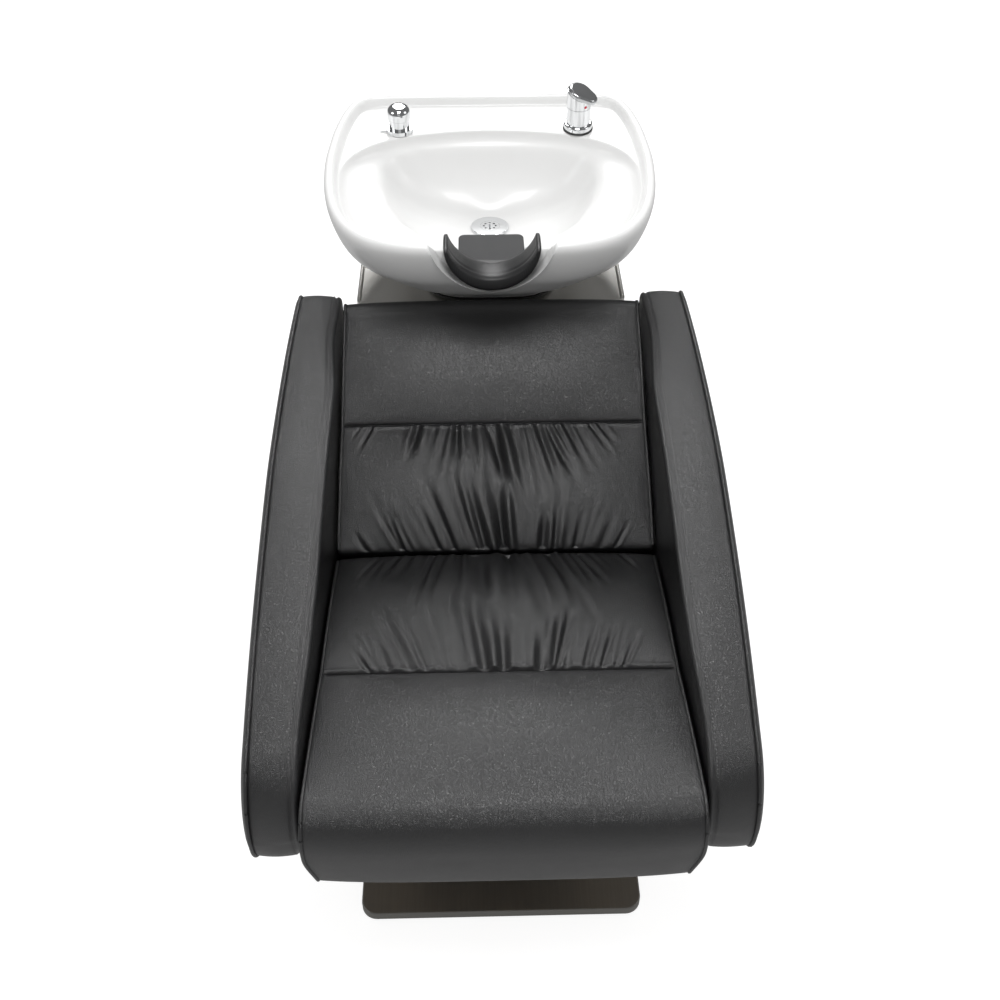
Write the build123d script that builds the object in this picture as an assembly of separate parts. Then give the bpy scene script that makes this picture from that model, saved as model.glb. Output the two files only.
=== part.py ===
from build123d import *
import math
import os

# Hair washing bed: a reclined leather seat with padded arms in front of a steel pedestal
# that carries a ceramic wash basin. Millimetres, X across, -Y towards the feet,
# +Y towards the head, +Z up. The origin lies on the floor under the middle of the whole bed.

# Overall reach along Y: seat front at -HALF_LENGTH, basin back at +HALF_LENGTH
HALF_LENGTH = 602.0
OVERRUN = 2.0
SOFT_GAP = 0.3
STEEL_SHEET = 2.0
BOARD = 18.0
EDGE_ROUND_SHARE = 0.33

# Base plate: a folded steel tray standing on rubber pads
PLATE_WIDTH = 460.0
PLATE_LENGTH = 1036.0
PLATE_TOP = 18.0
PLATE_SHEET = 3.0
PLATE_CORNER = 26.0
PLATE_EDGE_ROUND = 2.5
PLATE_CENTRE_Y = 62.0
PLATE_FLOOR_GAP = 2.0
PAD_RADIUS = 20.0
PAD_INSET = 34.0
PAD_ROWS = 4
ANCHOR_RADIUS = 6.0
ANCHOR_SPACING_X = 380.0
ANCHOR_SPACING_Y = 800.0
ANCHOR_CENTRE_Y = 90.0
FLOOR_CUTOUT_WIDTH = 240.0
FLOOR_CUTOUT_DEPTH = 130.0
FLOOR_CUTOUT_ROUND = 20.0

# Pedestal: a folded steel box with a service door at its back
PEDESTAL_FRONT_Y = 286.0
PEDESTAL_DEPTH = 286.0
PEDESTAL_TOP = 700.0
PEDESTAL_CORNER = 14.0
FLANGE_WIDTH = 26.0
DECK_SHEET = 5.0
DECK_EDGE_WIDTH = 6.0
DECK_EDGE_HEIGHT = 8.0
DOOR_WIDTH = 340.0
DOOR_HEIGHT = 540.0
DOOR_BOTTOM = 80.0
DOOR_GAP = 2.0
DOOR_RIM = 12.0
FINGER_PULL_RADIUS = 11.0
HINGE_RADIUS = 5.0
HINGE_PIN_RADIUS = 2.5
HINGE_PIN_CLEARANCE = 0.05
HINGE_KNUCKLE = 22.0
HINGE_LEAF_WIDTH = 26.0
HINGE_INSET = 80.0
HINGE_KNUCKLE_GAP = 0.4
CATCH_WIDTH = 14.0
CATCH_HEIGHT = 40.0
CATCH_DEPTH = 10.0
SCREW_RADIUS = 4.0
SCREW_HEAD_RADIUS = 7.0
SCREW_HEAD_HEIGHT = 5.0
SCREW_INSET = 14.0

# Ceramic basin, described by outlines at several depths under the rim
BASIN_BACK_REACH = 218.9
BASIN_CENTRE_Y = HALF_LENGTH - BASIN_BACK_REACH
BASIN_RIM_Z = 925.0
BASIN_TILT = 6.4
BASIN_HALF_WIDTH = 270.0
BASIN_HALF_DEPTH = 221.0
BASIN_BASE_Z = 708.0
BASIN_FRONT_ROUND = 158.0
BASIN_BACK_ROUND = 62.0
BASIN_WALL = 13.0
RIM_WIDTH = 22.0
RIM_ROUND = 8.0
DECK_DROP = 18.0
DISH_DROP = 42.0
DISH_HALF_WIDTH = 232.0
DISH_FRONT_ROUND = 136.0
DISH_BACK_ROUND = 40.0
DISH_BULGE = 88.0
BOWL_HALF_WIDTH = 188.0
BOWL_DROP = 132.0
BOWL_BULGE = 56.0
HOLLOW_FRONT_Y = 330.0
HOLLOW_FRONT_Z = 790.0
NOTCH_RADIUS = 76.0
NOTCH_CENTRE_Z = 896.0
NOTCH_WIDE_RADIUS = 100.0
NOTCH_WIDE_LIFT = 24.0
NOTCH_WIDE_START_Y = 175.0
NOTCH_END_Y = 300.0
GASKET_THICKNESS = 3.0
FOOT_RING = 16.0

# Outer outlines from the foot to the rim: share of the height, of the half width,
# and the front and back ends as shares of the half depth
OUTER_SHARES = (
    (0.00, 0.430, -0.360, 0.500),
    (0.16, 0.610, -0.560, 0.660),
    (0.38, 0.790, -0.790, 0.810),
    (0.68, 0.930, -0.935, 0.935),
    (1.00, 1.000, -1.000, 1.000),
)
# Bowl outlines: share of the bowl depth, of the bowl half width, front and back shares
BOWL_SHARES = (
    (0.26, 1.000, -0.800, 0.520),
    (0.62, 0.820, -0.640, 0.455),
    (0.88, 0.560, -0.380, 0.360),
    (1.00, 0.330, -0.160, 0.270),
)
DISH_FRONT_SHARE = -0.900
DISH_BACK_SHARE = 0.580
DISH_FLOOR_FRONT_SHARE = -0.840
DISH_FLOOR_BACK_SHARE = 0.545
DISH_FLOOR_WIDTH_SHARE = 0.880
BOWL_FRONT_ROUND_SHARE = 0.80
BOWL_BACK_ROUND_SHARE = 0.40

# Drain
DRAIN_Y = 396.0
DRAIN_HOLE_RADIUS = 21.0
DRAIN_FLANGE_RADIUS = 33.0
DRAIN_FLANGE_HEIGHT = 3.0
DRAIN_BORE_RADIUS = 17.0
DRAIN_THREAD_CLEARANCE = 0.5
DRAIN_NUT_RADIUS = 31.0
DRAIN_NUT_HEIGHT = 12.0
TAIL_RADIUS = 17.0
TAIL_LENGTH = 170.0
TAIL_WALL = 2.0
TAIL_LAP = 14.0
DRAIN_ROUND_SHARE = 0.6
STRAINER_CLEARANCE = 0.2
STRAINER_HEIGHT = 4.0
STRAINER_HOLE_RADIUS = 1.8
STRAINER_HOLES = 8
STRAINER_CIRCLE_SHARE = 0.62
TRAP_RADIUS = 32.0
TRAP_HEIGHT = 130.0
TRAP_NECK_SHARE = 0.75
WASTE_RADIUS = 20.0
WASTE_WALL = 2.0
WASTE_OFFSET = 62.0
WASTE_Z = 500.0
WASTE_END_Z = 40.0
WASTE_BEND_SHARE = 1.6

# Mixer tap, along its own axis square to the basin's deck
MIXER_X = 155.0
MIXER_LOCAL_Y = 124.0
MIXER_SEAL_RADIUS = 26.0
MIXER_SEAL_HEIGHT = 3.0
MIXER_RING_RADIUS = 25.0
MIXER_RING_HEIGHT = 9.0
MIXER_BODY_RADIUS = 20.5
MIXER_BODY_TOP = 42.0
MIXER_CAP_RADIUS = 21.0
MIXER_SPLIT = 1.0
MIXER_CAP_LOW = 56.0
MIXER_CAP_HIGH = 72.0
MIXER_LID_HEIGHT = 8.0
MIXER_LID_GAP = 0.4
MIXER_BEAK_REACH = 17.0
MIXER_BEAK_RADIUS = 15.0
MIXER_LEVER_ANGLE = -25.0
RING_ROUND_SHARE = 0.4
LID_ROUND_SHARE = 0.6
MARK_ANGLE = -62.0
MIXER_STEM_RADIUS = 6.0
MIXER_STEM_CLEARANCE = 0.05
CARTRIDGE_RADIUS = 16.0
MARK_RADIUS = 2.6
MARK_DEPTH = 1.0
SHANK_RADIUS = 14.0
SHANK_LENGTH = 40.0
SHANK_HOLE_CLEARANCE = 1.0
SHANK_NUT_RADIUS = 17.5
SHANK_NUT_HEIGHT = 8.0

# Hand shower standing in its guide
SHOWER_X = -153.0
SHOWER_RING_RADIUS = 24.0
SHOWER_RING_HEIGHT = 7.0
SHOWER_LUG_REACH = 33.0
SHOWER_LUG_WIDTH = 14.0
SHOWER_HEAD_RADIUS = 20.0
SHOWER_WAIST_RADIUS = 18.0
SHOWER_HEAD_HEIGHT = 38.0
SHOWER_STEM_RADIUS = 12.0
SHOWER_STEM_LENGTH = 56.0
SHOWER_STEM_CLEARANCE = 0.1
SHOWER_GUIDE_RADIUS = 16.0
SHOWER_GUIDE_LENGTH = 46.0
SHOWER_WAIST_SHARE = 0.45
SHOWER_DOME_SHARE = 0.6

# Water inlets inside the pedestal
INLET_X = 120.0
INLET_Z = 150.0
INLET_RADIUS = 10.5
INLET_BORE = 7.0
INLET_LENGTH = 46.0
INLET_BODY_RADIUS = 15.0
INLET_BODY_LENGTH = 34.0
INLET_OUTLET_RADIUS = 8.0
INLET_OUTLET_LENGTH = 26.0
INLET_FROM_FRONT = 60.0
INLET_NECK_RADIUS = 9.0
INLET_NECK_GAP = 1.0
SUPPLY_HOLE_RADIUS = 16.0

# Neck rest in the notch
NECK_FRONT_Y = 140.0
NECK_ROLL_LENGTH = 56.0
NECK_ROLL_INNER = 72.0
NECK_ROLL_LIFT = 24.0
NECK_HORN_RISE = 2.0
NECK_GAP = 0.5
NECK_ROUND = 2.6
NECK_TONGUE_WIDTH = 106.0
NECK_TONGUE_LENGTH = 114.0
NECK_TONGUE_THICKNESS = 8.0
NECK_TONGUE_ANGLE = -1.0
NECK_TONGUE_ROUND = 14.0

# Upholstery: half widths between the arms and the side profiles as (Y, Z) places
ARM_INNER_FRONT = 272.0
ARM_INNER_REAR = 250.0
CUSHION_SIDE_GAP = 2.0
BODY_REAR_Y = 276.0
SEAT_UNDER_Z = 335.0
CROTCH_Y = -86.0
CROTCH_Z = 478.0
SEAT_SEAM_Y = -329.0
SEAT_SEAM_Z = 483.0
SEAT_SEAM_DIP = 9.0
SEAT_FRONT_TOP_Y = -548.0
SEAT_FRONT_TOP_Z = 489.0
SEAT_NOSE_Z = 420.0
SEAT_CROWN = 13.0
BACK_SEAM_Y = 88.0
BACK_SEAM_Z = 608.0
BACK_SEAM_DIP = 9.0
BACK_TOP_Y = 240.0
BACK_TOP_Z = 724.0
BACK_PEAK_Z = 738.0
BACK_CROWN = 13.0
BACK_THICKNESS = 104.0
CUSHION_EDGE_DRAW = 12.0
CUSHION_SEAM_GAP = 1.0
DEEP_PANEL_SHARE = 1.5
PEAK_DRAW_SHARE = 0.33
NOSE_SHARE = 0.29
# Cushion stations across the half width, and how steeply crown and edge fall off there
CUSHION_STATION_SHARES = (0.0, 0.45, 0.76, 0.90, 0.965, 1.0)
CUSHION_SIDE_CROWN_SHARE = 0.3
CUSHION_CROWN_POWER = 4
CUSHION_EDGE_POWER = 14

# Arms: profile as (Y, Z) places, then thickness and edge rounding
ARM_THICKNESS = 80.0
ARM_ROUND = 20.0
ARM_FRONT_Y = -568.0
ARM_NOSE_Z = 430.0
ARM_NOSE_TOP_Y = -488.0
ARM_NOSE_TOP_Z = 528.0
ARM_MID_Y = -287.0
ARM_MID_Z = 628.0
ARM_CREST_Y = -120.0
ARM_CREST_Z = 690.0
ARM_TOP_Z = 741.0
ARM_REAR_CORNER = 16.0
ARM_REAR_LOW_Z = 480.0
ARM_BELLY_Y = 70.0
ARM_CORE_MARGIN = 34.0
ARM_CORE_THICKNESS = 20.0
ARM_FRONT_CORNER = 62.0
ARM_BELLY_CORNER = 60.0
ARM_BOLT_FRONT_Y = -460.0
ARM_BOLT_REAR_Y = -30.0
BOARD_LAP_SHARE = 0.72
BOARD_SKIN_SHARE = 0.33

# Boards, pillar and bolts under the upholstery
SEAT_BOARD_FRONT_Y = -520.0
UNDER_PANEL = 8.0
PILLAR_WIDTH = 300.0
PILLAR_FRONT_Y = -340.0
PILLAR_DEPTH = 320.0
PILLAR_SHEET = 3.0
REAR_PANEL_THICKNESS = 10.0
BOLT_RADIUS = 4.0
BOLT_HEAD_RADIUS = 7.5
BOLT_HEAD_HEIGHT = 5.0
BOLT_BITE_SHARE = 0.6
BRACKET_WIDTH = 260.0
BRACKET_HEIGHT = 130.0
BRACKET_Z = 590.0

# Worked out from the values above
TOE = math.degrees(math.atan((ARM_INNER_FRONT - ARM_INNER_REAR) / (BODY_REAR_Y - ARM_FRONT_Y)))
PEDESTAL_BACK_Y = PEDESTAL_FRONT_Y + PEDESTAL_DEPTH
PEDESTAL_MID_Y = PEDESTAL_FRONT_Y + PEDESTAL_DEPTH / 2
DECK_TOP = PEDESTAL_TOP + DECK_SHEET
RIM_PLACE = Location((0, BASIN_CENTRE_Y, BASIN_RIM_Z), (BASIN_TILT, 0, 0))
BACK_ANGLE = math.degrees(math.atan2(BACK_TOP_Z - CROTCH_Z, BACK_TOP_Y - CROTCH_Y))


def box(low, high):
    """A box between two corners."""
    size = [b - a for a, b in zip(low, high)]
    middle = [(a + b) / 2 for a, b in zip(low, high)]
    return Pos(*middle) * Box(*size)


def cylinder(radius, bottom, top, x=0, y=0):
    """An upright cylinder between two heights."""
    return Pos(x, y, (bottom + top) / 2) * Cylinder(radius, top - bottom)


def bar_along_y(radius, front, back, x, z):
    """A cylinder along Y between two places."""
    return Pos(x, (front + back) / 2, z) * Rot(90, 0, 0) * Cylinder(radius, back - front)


def side_plane(x, turn=0):
    """A plane whose own axes are the bed's Y and Z, turned about Z and set at x."""
    angle = math.radians(turn)
    return Plane(
        origin=(x, 0, 0),
        x_dir=(-math.sin(angle), math.cos(angle), 0),
        z_dir=(math.cos(angle), math.sin(angle), 0),
    )


# Base plate

def make_base_plate():
    """Folded tray with rounded corners, anchor holes, a cut-out for the pipe and two hose holes."""
    height = PLATE_TOP - PLATE_FLOOR_GAP
    outline = RectangleRounded(PLATE_WIDTH, PLATE_LENGTH, PLATE_CORNER)
    inner = RectangleRounded(
        PLATE_WIDTH - 2 * PLATE_SHEET,
        PLATE_LENGTH - 2 * PLATE_SHEET,
        PLATE_CORNER - PLATE_SHEET,
    )
    tray = extrude(outline, height)
    tray = fillet(tray.faces().sort_by(Axis.Z)[-1].edges(), PLATE_EDGE_ROUND)
    tray -= extrude(inner, height - PLATE_SHEET)
    tray = Pos(0, PLATE_CENTRE_Y, PLATE_FLOOR_GAP) * tray
    for sx in (-1, 1):
        for sy in (-1, 1):
            tray -= cylinder(
                ANCHOR_RADIUS, 0, PLATE_TOP + OVERRUN,
                sx * ANCHOR_SPACING_X / 2, ANCHOR_CENTRE_Y + sy * ANCHOR_SPACING_Y / 2,
            )
    for x, y in pedestal_screw_places():
        tray -= cylinder(SCREW_RADIUS, 0, PLATE_TOP + OVERRUN, x, y)
    for x, y in pillar_bolt_places():
        tray -= cylinder(BOLT_RADIUS, 0, PLATE_TOP + OVERRUN, x, y)
    cutout = RectangleRounded(FLOOR_CUTOUT_WIDTH, FLOOR_CUTOUT_DEPTH, FLOOR_CUTOUT_ROUND)
    tray -= Pos(0, PEDESTAL_MID_Y, 0) * extrude(cutout, PLATE_TOP + OVERRUN)
    for sx in (-1, 1):
        tray -= cylinder(SUPPLY_HOLE_RADIUS, 0, PLATE_TOP + OVERRUN, sx * INLET_X, inlet_y())
    return tray


def make_floor_pads():
    """Rubber pads under the tray in two rows."""
    pads = []
    run = PLATE_LENGTH - 2 * PAD_INSET
    for sx in (-1, 1):
        for row in range(PAD_ROWS):
            y = PLATE_CENTRE_Y - run / 2 + run * row / (PAD_ROWS - 1)
            pads.append(cylinder(
                PAD_RADIUS, 0, PLATE_TOP - PLATE_SHEET, sx * (PLATE_WIDTH / 2 - PAD_INSET), y,
            ))
    return Compound(children=pads)


# Pedestal

def make_pedestal_shell():
    """Folded steel box with turned-in flanges and a door opening at the back."""
    outer = RectangleRounded(PLATE_WIDTH, PEDESTAL_DEPTH, PEDESTAL_CORNER)
    inner = RectangleRounded(
        PLATE_WIDTH - 2 * STEEL_SHEET,
        PEDESTAL_DEPTH - 2 * STEEL_SHEET,
        PEDESTAL_CORNER - STEEL_SHEET,
    )
    mouth = RectangleRounded(
        PLATE_WIDTH - 2 * FLANGE_WIDTH,
        PEDESTAL_DEPTH - 2 * FLANGE_WIDTH,
        PEDESTAL_CORNER,
    )
    height = PEDESTAL_TOP - PLATE_TOP
    shell = extrude(outer, height)
    shell -= Pos(0, 0, STEEL_SHEET) * extrude(inner, height - 2 * STEEL_SHEET)
    shell -= extrude(mouth, height)
    shell = Pos(0, PEDESTAL_MID_Y, PLATE_TOP) * shell
    opening_half = DOOR_WIDTH / 2 + DOOR_GAP
    shell -= box(
        (-opening_half, PEDESTAL_BACK_Y - FLANGE_WIDTH, DOOR_BOTTOM - DOOR_GAP),
        (opening_half, PEDESTAL_BACK_Y + OVERRUN, DOOR_BOTTOM + DOOR_HEIGHT + DOOR_GAP),
    )
    for x, z in back_bolt_places():
        wall = PEDESTAL_FRONT_Y + STEEL_SHEET + OVERRUN
        shell -= bar_along_y(BOLT_RADIUS, PEDESTAL_FRONT_Y - OVERRUN, wall, x, z)
    for x, y in pedestal_screw_places():
        shell -= cylinder(SCREW_RADIUS, 0, PLATE_TOP + STEEL_SHEET + OVERRUN, x, y)
    return shell


def pedestal_screw_places():
    """The four corner screws of the pedestal's lower flange."""
    x = PLATE_WIDTH / 2 - SCREW_INSET
    y_reach = PEDESTAL_DEPTH / 2 - SCREW_INSET
    return [(sx * x, PEDESTAL_MID_Y + sy * y_reach) for sx in (-1, 1) for sy in (-1, 1)]


def make_pedestal_screws():
    """Screws that hold the pedestal's lower flange to the base plate."""
    screws = []
    seat = PLATE_TOP + STEEL_SHEET
    for x, y in pedestal_screw_places():
        shank = cylinder(SCREW_RADIUS, PLATE_TOP - PLATE_SHEET, seat, x, y)
        head = cylinder(SCREW_HEAD_RADIUS, seat, seat + SCREW_HEAD_HEIGHT, x, y)
        screws.append(shank + head)
    return Compound(children=screws)


def foot_outline(grow=0.0):
    """The outline of the basin's foot."""
    share, wide, front, back = OUTER_SHARES[0]
    return rounded_outline(
        BASIN_HALF_WIDTH * wide + grow,
        BASIN_HALF_DEPTH * front - grow,
        BASIN_HALF_DEPTH * back + grow,
        BASIN_FRONT_ROUND * wide,
        BASIN_BACK_ROUND * wide,
    )


def make_pedestal_deck():
    """Steel deck with raised edges and a cut-out under the basin's foot."""
    outer = RectangleRounded(PLATE_WIDTH, PEDESTAL_DEPTH, PEDESTAL_CORNER)
    inner = RectangleRounded(
        PLATE_WIDTH - 2 * DECK_EDGE_WIDTH,
        PEDESTAL_DEPTH - 2 * DECK_EDGE_WIDTH,
        PEDESTAL_CORNER - DECK_EDGE_WIDTH,
    )
    height = DECK_SHEET + DECK_EDGE_HEIGHT
    deck = extrude(outer, height)
    deck -= Pos(0, 0, DECK_SHEET) * extrude(inner, height)
    rim = deck.faces().sort_by(Axis.Z)[-1].edges()
    deck = fillet(rim, DECK_EDGE_WIDTH * EDGE_ROUND_SHARE)
    deck = Pos(0, PEDESTAL_MID_Y, PEDESTAL_TOP) * deck
    hole = Pos(0, BASIN_CENTRE_Y, PEDESTAL_TOP - OVERRUN) * foot_outline(-FOOT_RING)
    deck -= extrude(hole, DECK_SHEET + 2 * OVERRUN, dir=(0, 0, 1))
    return deck


def door_hinge_axis():
    """The upright line that the service door turns on."""
    return -(DOOR_WIDTH / 2 + DOOR_GAP / 2), PEDESTAL_BACK_Y + HINGE_RADIUS


def hinge_levels():
    """The middle height of each hinge."""
    return (DOOR_BOTTOM + HINGE_INSET, DOOR_BOTTOM + DOOR_HEIGHT - HINGE_INSET)


def make_service_door():
    """Folded steel door with a finger pull and one knuckle per hinge."""
    half = DOOR_WIDTH / 2
    top = DOOR_BOTTOM + DOOR_HEIGHT
    back = PEDESTAL_BACK_Y
    door = box((-half, back - DOOR_RIM, DOOR_BOTTOM), (half, back, top))
    door -= box(
        (-half + STEEL_SHEET, back - DOOR_RIM - OVERRUN, DOOR_BOTTOM + STEEL_SHEET),
        (half - STEEL_SHEET, back - STEEL_SHEET, top - STEEL_SHEET),
    )
    pull = Pos(half - DOOR_RIM - 2 * FINGER_PULL_RADIUS, back, DOOR_BOTTOM + DOOR_HEIGHT / 2)
    door -= pull * Rot(90, 0, 0) * Cylinder(FINGER_PULL_RADIUS, DOOR_RIM)
    x, y = door_hinge_axis()
    bore = HINGE_PIN_RADIUS + HINGE_PIN_CLEARANCE
    for z in hinge_levels():
        low = z + HINGE_KNUCKLE_GAP / 2
        high = z + HINGE_KNUCKLE
        leaf = box((x, back, low), (x + HINGE_LEAF_WIDTH, back + STEEL_SHEET, high))
        knuckle = cylinder(HINGE_RADIUS, low, high, x, y)
        door += leaf + knuckle
        door -= cylinder(bore, low - OVERRUN, high + OVERRUN, x, y)
    return door


def make_hinge_leaves():
    """The fixed half of each door hinge, on the pedestal's back."""
    x, y = door_hinge_axis()
    leaves = []
    for z in hinge_levels():
        low = z - HINGE_KNUCKLE
        high = z - HINGE_KNUCKLE_GAP / 2
        leaf = box(
            (x - HINGE_LEAF_WIDTH, PEDESTAL_BACK_Y, low), (x, PEDESTAL_BACK_Y + STEEL_SHEET, high)
        )
        part = leaf + cylinder(HINGE_RADIUS, low, high, x, y)
        part -= cylinder(HINGE_PIN_RADIUS, low - OVERRUN, high + OVERRUN, x, y)
        leaves.append(part)
    return Compound(children=leaves)


def make_hinge_pins():
    """One pin through the knuckles of each door hinge."""
    x, y = door_hinge_axis()
    pins = [
        cylinder(HINGE_PIN_RADIUS, z - HINGE_KNUCKLE, z + HINGE_KNUCKLE, x, y)
        for z in hinge_levels()
    ]
    return Compound(children=pins)


def make_door_catch():
    """Magnetic catch inside the box, beside the door's free edge."""
    low_x = DOOR_WIDTH / 2 + DOOR_GAP + OVERRUN
    back = PEDESTAL_BACK_Y - STEEL_SHEET
    middle = DOOR_BOTTOM + DOOR_HEIGHT / 2
    return box(
        (low_x, back - CATCH_DEPTH, middle - CATCH_HEIGHT / 2),
        (low_x + CATCH_WIDTH, back, middle + CATCH_HEIGHT / 2),
    )


# Basin

def rounded_outline(half_width, front, back, front_round, back_round, bulge=0.0):
    """A D-like outline with large front corners, smaller back corners and a bulged back."""
    side_back = back - bulge
    sides = Polyline((-half_width, side_back), (-half_width, front), (half_width, front),
                     (half_width, side_back))
    if bulge:
        rear = ThreePointArc((half_width, side_back), (0, back), (-half_width, side_back))
    else:
        rear = Line((half_width, side_back), (-half_width, side_back))
    shape = make_face(Curve() + [sides, rear])
    shape = fillet(shape.vertices().sort_by(Axis.Y)[:2], front_round)
    return fillet(shape.vertices().sort_by(Axis.Y)[-2:], back_round)


def level_place(share, low_z, high_z):
    """Where an outline lies between a level foot and the tilted rim."""
    z = low_z + (high_z - low_z) * share
    return Location((0, BASIN_CENTRE_Y, z), (BASIN_TILT * share, 0, 0))


def outer_loft(shrink):
    """The basin's outside, shrunk by a wall where its inside is wanted."""
    sections = []
    for share, wide, front, back in OUTER_SHARES:
        outline = rounded_outline(
            BASIN_HALF_WIDTH * wide - shrink,
            BASIN_HALF_DEPTH * front + shrink,
            BASIN_HALF_DEPTH * back - shrink,
            BASIN_FRONT_ROUND * wide - shrink,
            BASIN_BACK_ROUND * (wide + share) / 2,
        )
        sections.append(level_place(share, BASIN_BASE_Z, BASIN_RIM_Z) * outline)
    return loft(sections)


def bowl_loft(grow):
    """The scoop of the bowl, grown by a wall where its outside is wanted."""
    sections = []
    for depth, wide, front, back in BOWL_SHARES:
        half_width = BOWL_HALF_WIDTH * wide
        front_y = BASIN_HALF_DEPTH * front
        back_y = BASIN_HALF_DEPTH * back
        reach = min(half_width, (back_y - front_y) / 2)
        outline = rounded_outline(
            half_width + grow, front_y - grow, back_y + grow,
            reach * BOWL_FRONT_ROUND_SHARE + grow, reach * BOWL_BACK_ROUND_SHARE + grow,
            BOWL_BULGE * wide,
        )
        drop = (BOWL_DROP + grow) * depth
        tilt = BASIN_TILT * (1 - depth)
        place = Location((0, BASIN_CENTRE_Y, BASIN_RIM_Z - drop), (tilt, 0, 0))
        sections.append(place * outline)
    return loft(sections)


def dish_loft(grow):
    """The shallow dish from the deck down to the bowl's edge."""
    sections = []
    for drop, wide, front, back in (
        (DECK_DROP, 1, DISH_FRONT_SHARE, DISH_BACK_SHARE),
        (DISH_DROP, DISH_FLOOR_WIDTH_SHARE, DISH_FLOOR_FRONT_SHARE, DISH_FLOOR_BACK_SHARE),
    ):
        outline = rounded_outline(
            DISH_HALF_WIDTH * wide + grow,
            BASIN_HALF_DEPTH * front - grow,
            BASIN_HALF_DEPTH * back + grow,
            DISH_FRONT_ROUND * wide + grow,
            DISH_BACK_ROUND * wide + grow,
            DISH_BULGE * wide,
        )
        sections.append(RIM_PLACE * Pos(0, 0, -drop - (grow if wide < 1 else 0)) * outline)
    return loft(sections, ruled=True)


def deck_recess():
    """The space inside the raised rim, down to the basin's deck."""
    outline = rounded_outline(
        BASIN_HALF_WIDTH - RIM_WIDTH,
        RIM_WIDTH - BASIN_HALF_DEPTH,
        BASIN_HALF_DEPTH - RIM_WIDTH,
        BASIN_FRONT_ROUND - RIM_WIDTH,
        BASIN_BACK_ROUND - RIM_WIDTH / 2,
    )
    return RIM_PLACE * Pos(0, 0, -DECK_DROP) * extrude(outline, DECK_DROP + OVERRUN)


def underside_hollow():
    """The space under the bowl and the deck, inside the basin's thin outer wall."""
    hollow = outer_loft(BASIN_WALL)
    reach = 2 * BASIN_HALF_WIDTH
    deck_under = DECK_DROP + BASIN_WALL
    hollow -= RIM_PLACE * Pos(0, 0, reach / 2 - deck_under) * Box(reach, reach, reach)
    hollow -= dish_loft(BASIN_WALL)
    hollow -= bowl_loft(BASIN_WALL)
    hollow -= box(
        (-reach, BASIN_CENTRE_Y - reach, HOLLOW_FRONT_Z),
        (reach, HOLLOW_FRONT_Y, BASIN_RIM_Z + reach),
    )
    return hollow


def notch_tool():
    """The neck notch: a level trough along Y that widens behind the neck roll."""
    front = BASIN_CENTRE_Y - BASIN_HALF_WIDTH
    narrow = bar_along_y(NOTCH_RADIUS, front, NOTCH_WIDE_START_Y, 0, NOTCH_CENTRE_Z)
    wide_z = NOTCH_CENTRE_Z + NOTCH_WIDE_LIFT
    return narrow + bar_along_y(NOTCH_WIDE_RADIUS, NOTCH_WIDE_START_Y, NOTCH_END_Y, 0, wide_z)


def deck_cylinder(radius, bottom, top, x, y):
    """A cylinder square to the basin's deck, with heights taken from the deck."""
    return RIM_PLACE * Pos(0, 0, -DECK_DROP) * cylinder(radius, bottom, top, x, y)


def make_basin():
    """Ceramic basin: rolled rim, rear deck, dish, scoop, neck notch and hollow underside."""
    basin = outer_loft(0)
    basin = fillet(basin.faces().sort_by(Axis.Z)[-1].edges(), RIM_ROUND)
    basin -= deck_recess()
    basin -= dish_loft(0)
    basin -= bowl_loft(0)
    basin -= underside_hollow()
    basin -= notch_tool()
    basin -= cylinder(DRAIN_HOLE_RADIUS, BASIN_BASE_Z, BASIN_RIM_Z, 0, DRAIN_Y)
    hole = SHANK_RADIUS + SHANK_HOLE_CLEARANCE
    basin -= deck_cylinder(hole, -SHANK_LENGTH, OVERRUN, MIXER_X, MIXER_LOCAL_Y)
    basin -= deck_cylinder(SHOWER_GUIDE_RADIUS, -SHOWER_GUIDE_LENGTH, OVERRUN, SHOWER_X, MIXER_LOCAL_Y)
    return basin


def make_basin_gasket():
    """Rubber ring between the basin's foot and the steel deck."""
    ring = foot_outline() - foot_outline(-FOOT_RING)
    return Pos(0, BASIN_CENTRE_Y, DECK_TOP) * extrude(ring, GASKET_THICKNESS)


# Drain

BOWL_FLOOR_Z = BASIN_RIM_Z - BOWL_DROP
CERAMIC_UNDER_Z = BOWL_FLOOR_Z - BASIN_WALL
DRAIN_GASKET_Z = CERAMIC_UNDER_Z - GASKET_THICKNESS
DRAIN_NUT_Z = DRAIN_GASKET_Z - DRAIN_NUT_HEIGHT
TAIL_TOP_Z = DRAIN_NUT_Z
TRAP_TOP_Z = TAIL_TOP_Z - TAIL_LENGTH


def ring(outer, inner, bottom, top, x=0, y=0):
    """An upright ring."""
    return cylinder(outer, bottom, top, x, y) - cylinder(inner, bottom, top, x, y)


def make_drain_flange():
    """Chrome flange on the bowl's floor with its threaded tube through the ceramic."""
    top = BOWL_FLOOR_Z + DRAIN_FLANGE_HEIGHT
    flange = cylinder(DRAIN_FLANGE_RADIUS, BOWL_FLOOR_Z, top, 0, DRAIN_Y)
    flange = fillet(flange.edges().sort_by(Axis.Z)[-1], DRAIN_FLANGE_HEIGHT * DRAIN_ROUND_SHARE)
    tube_radius = DRAIN_HOLE_RADIUS - DRAIN_THREAD_CLEARANCE
    flange += cylinder(tube_radius, TAIL_TOP_Z, BOWL_FLOOR_Z, 0, DRAIN_Y)
    return flange - cylinder(DRAIN_BORE_RADIUS, TAIL_TOP_Z, top, 0, DRAIN_Y)


def make_drain_seal():
    """Rubber ring under the ceramic."""
    inner = DRAIN_HOLE_RADIUS - DRAIN_THREAD_CLEARANCE
    return ring(DRAIN_NUT_RADIUS, inner, DRAIN_GASKET_Z, CERAMIC_UNDER_Z, 0, DRAIN_Y)


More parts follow.
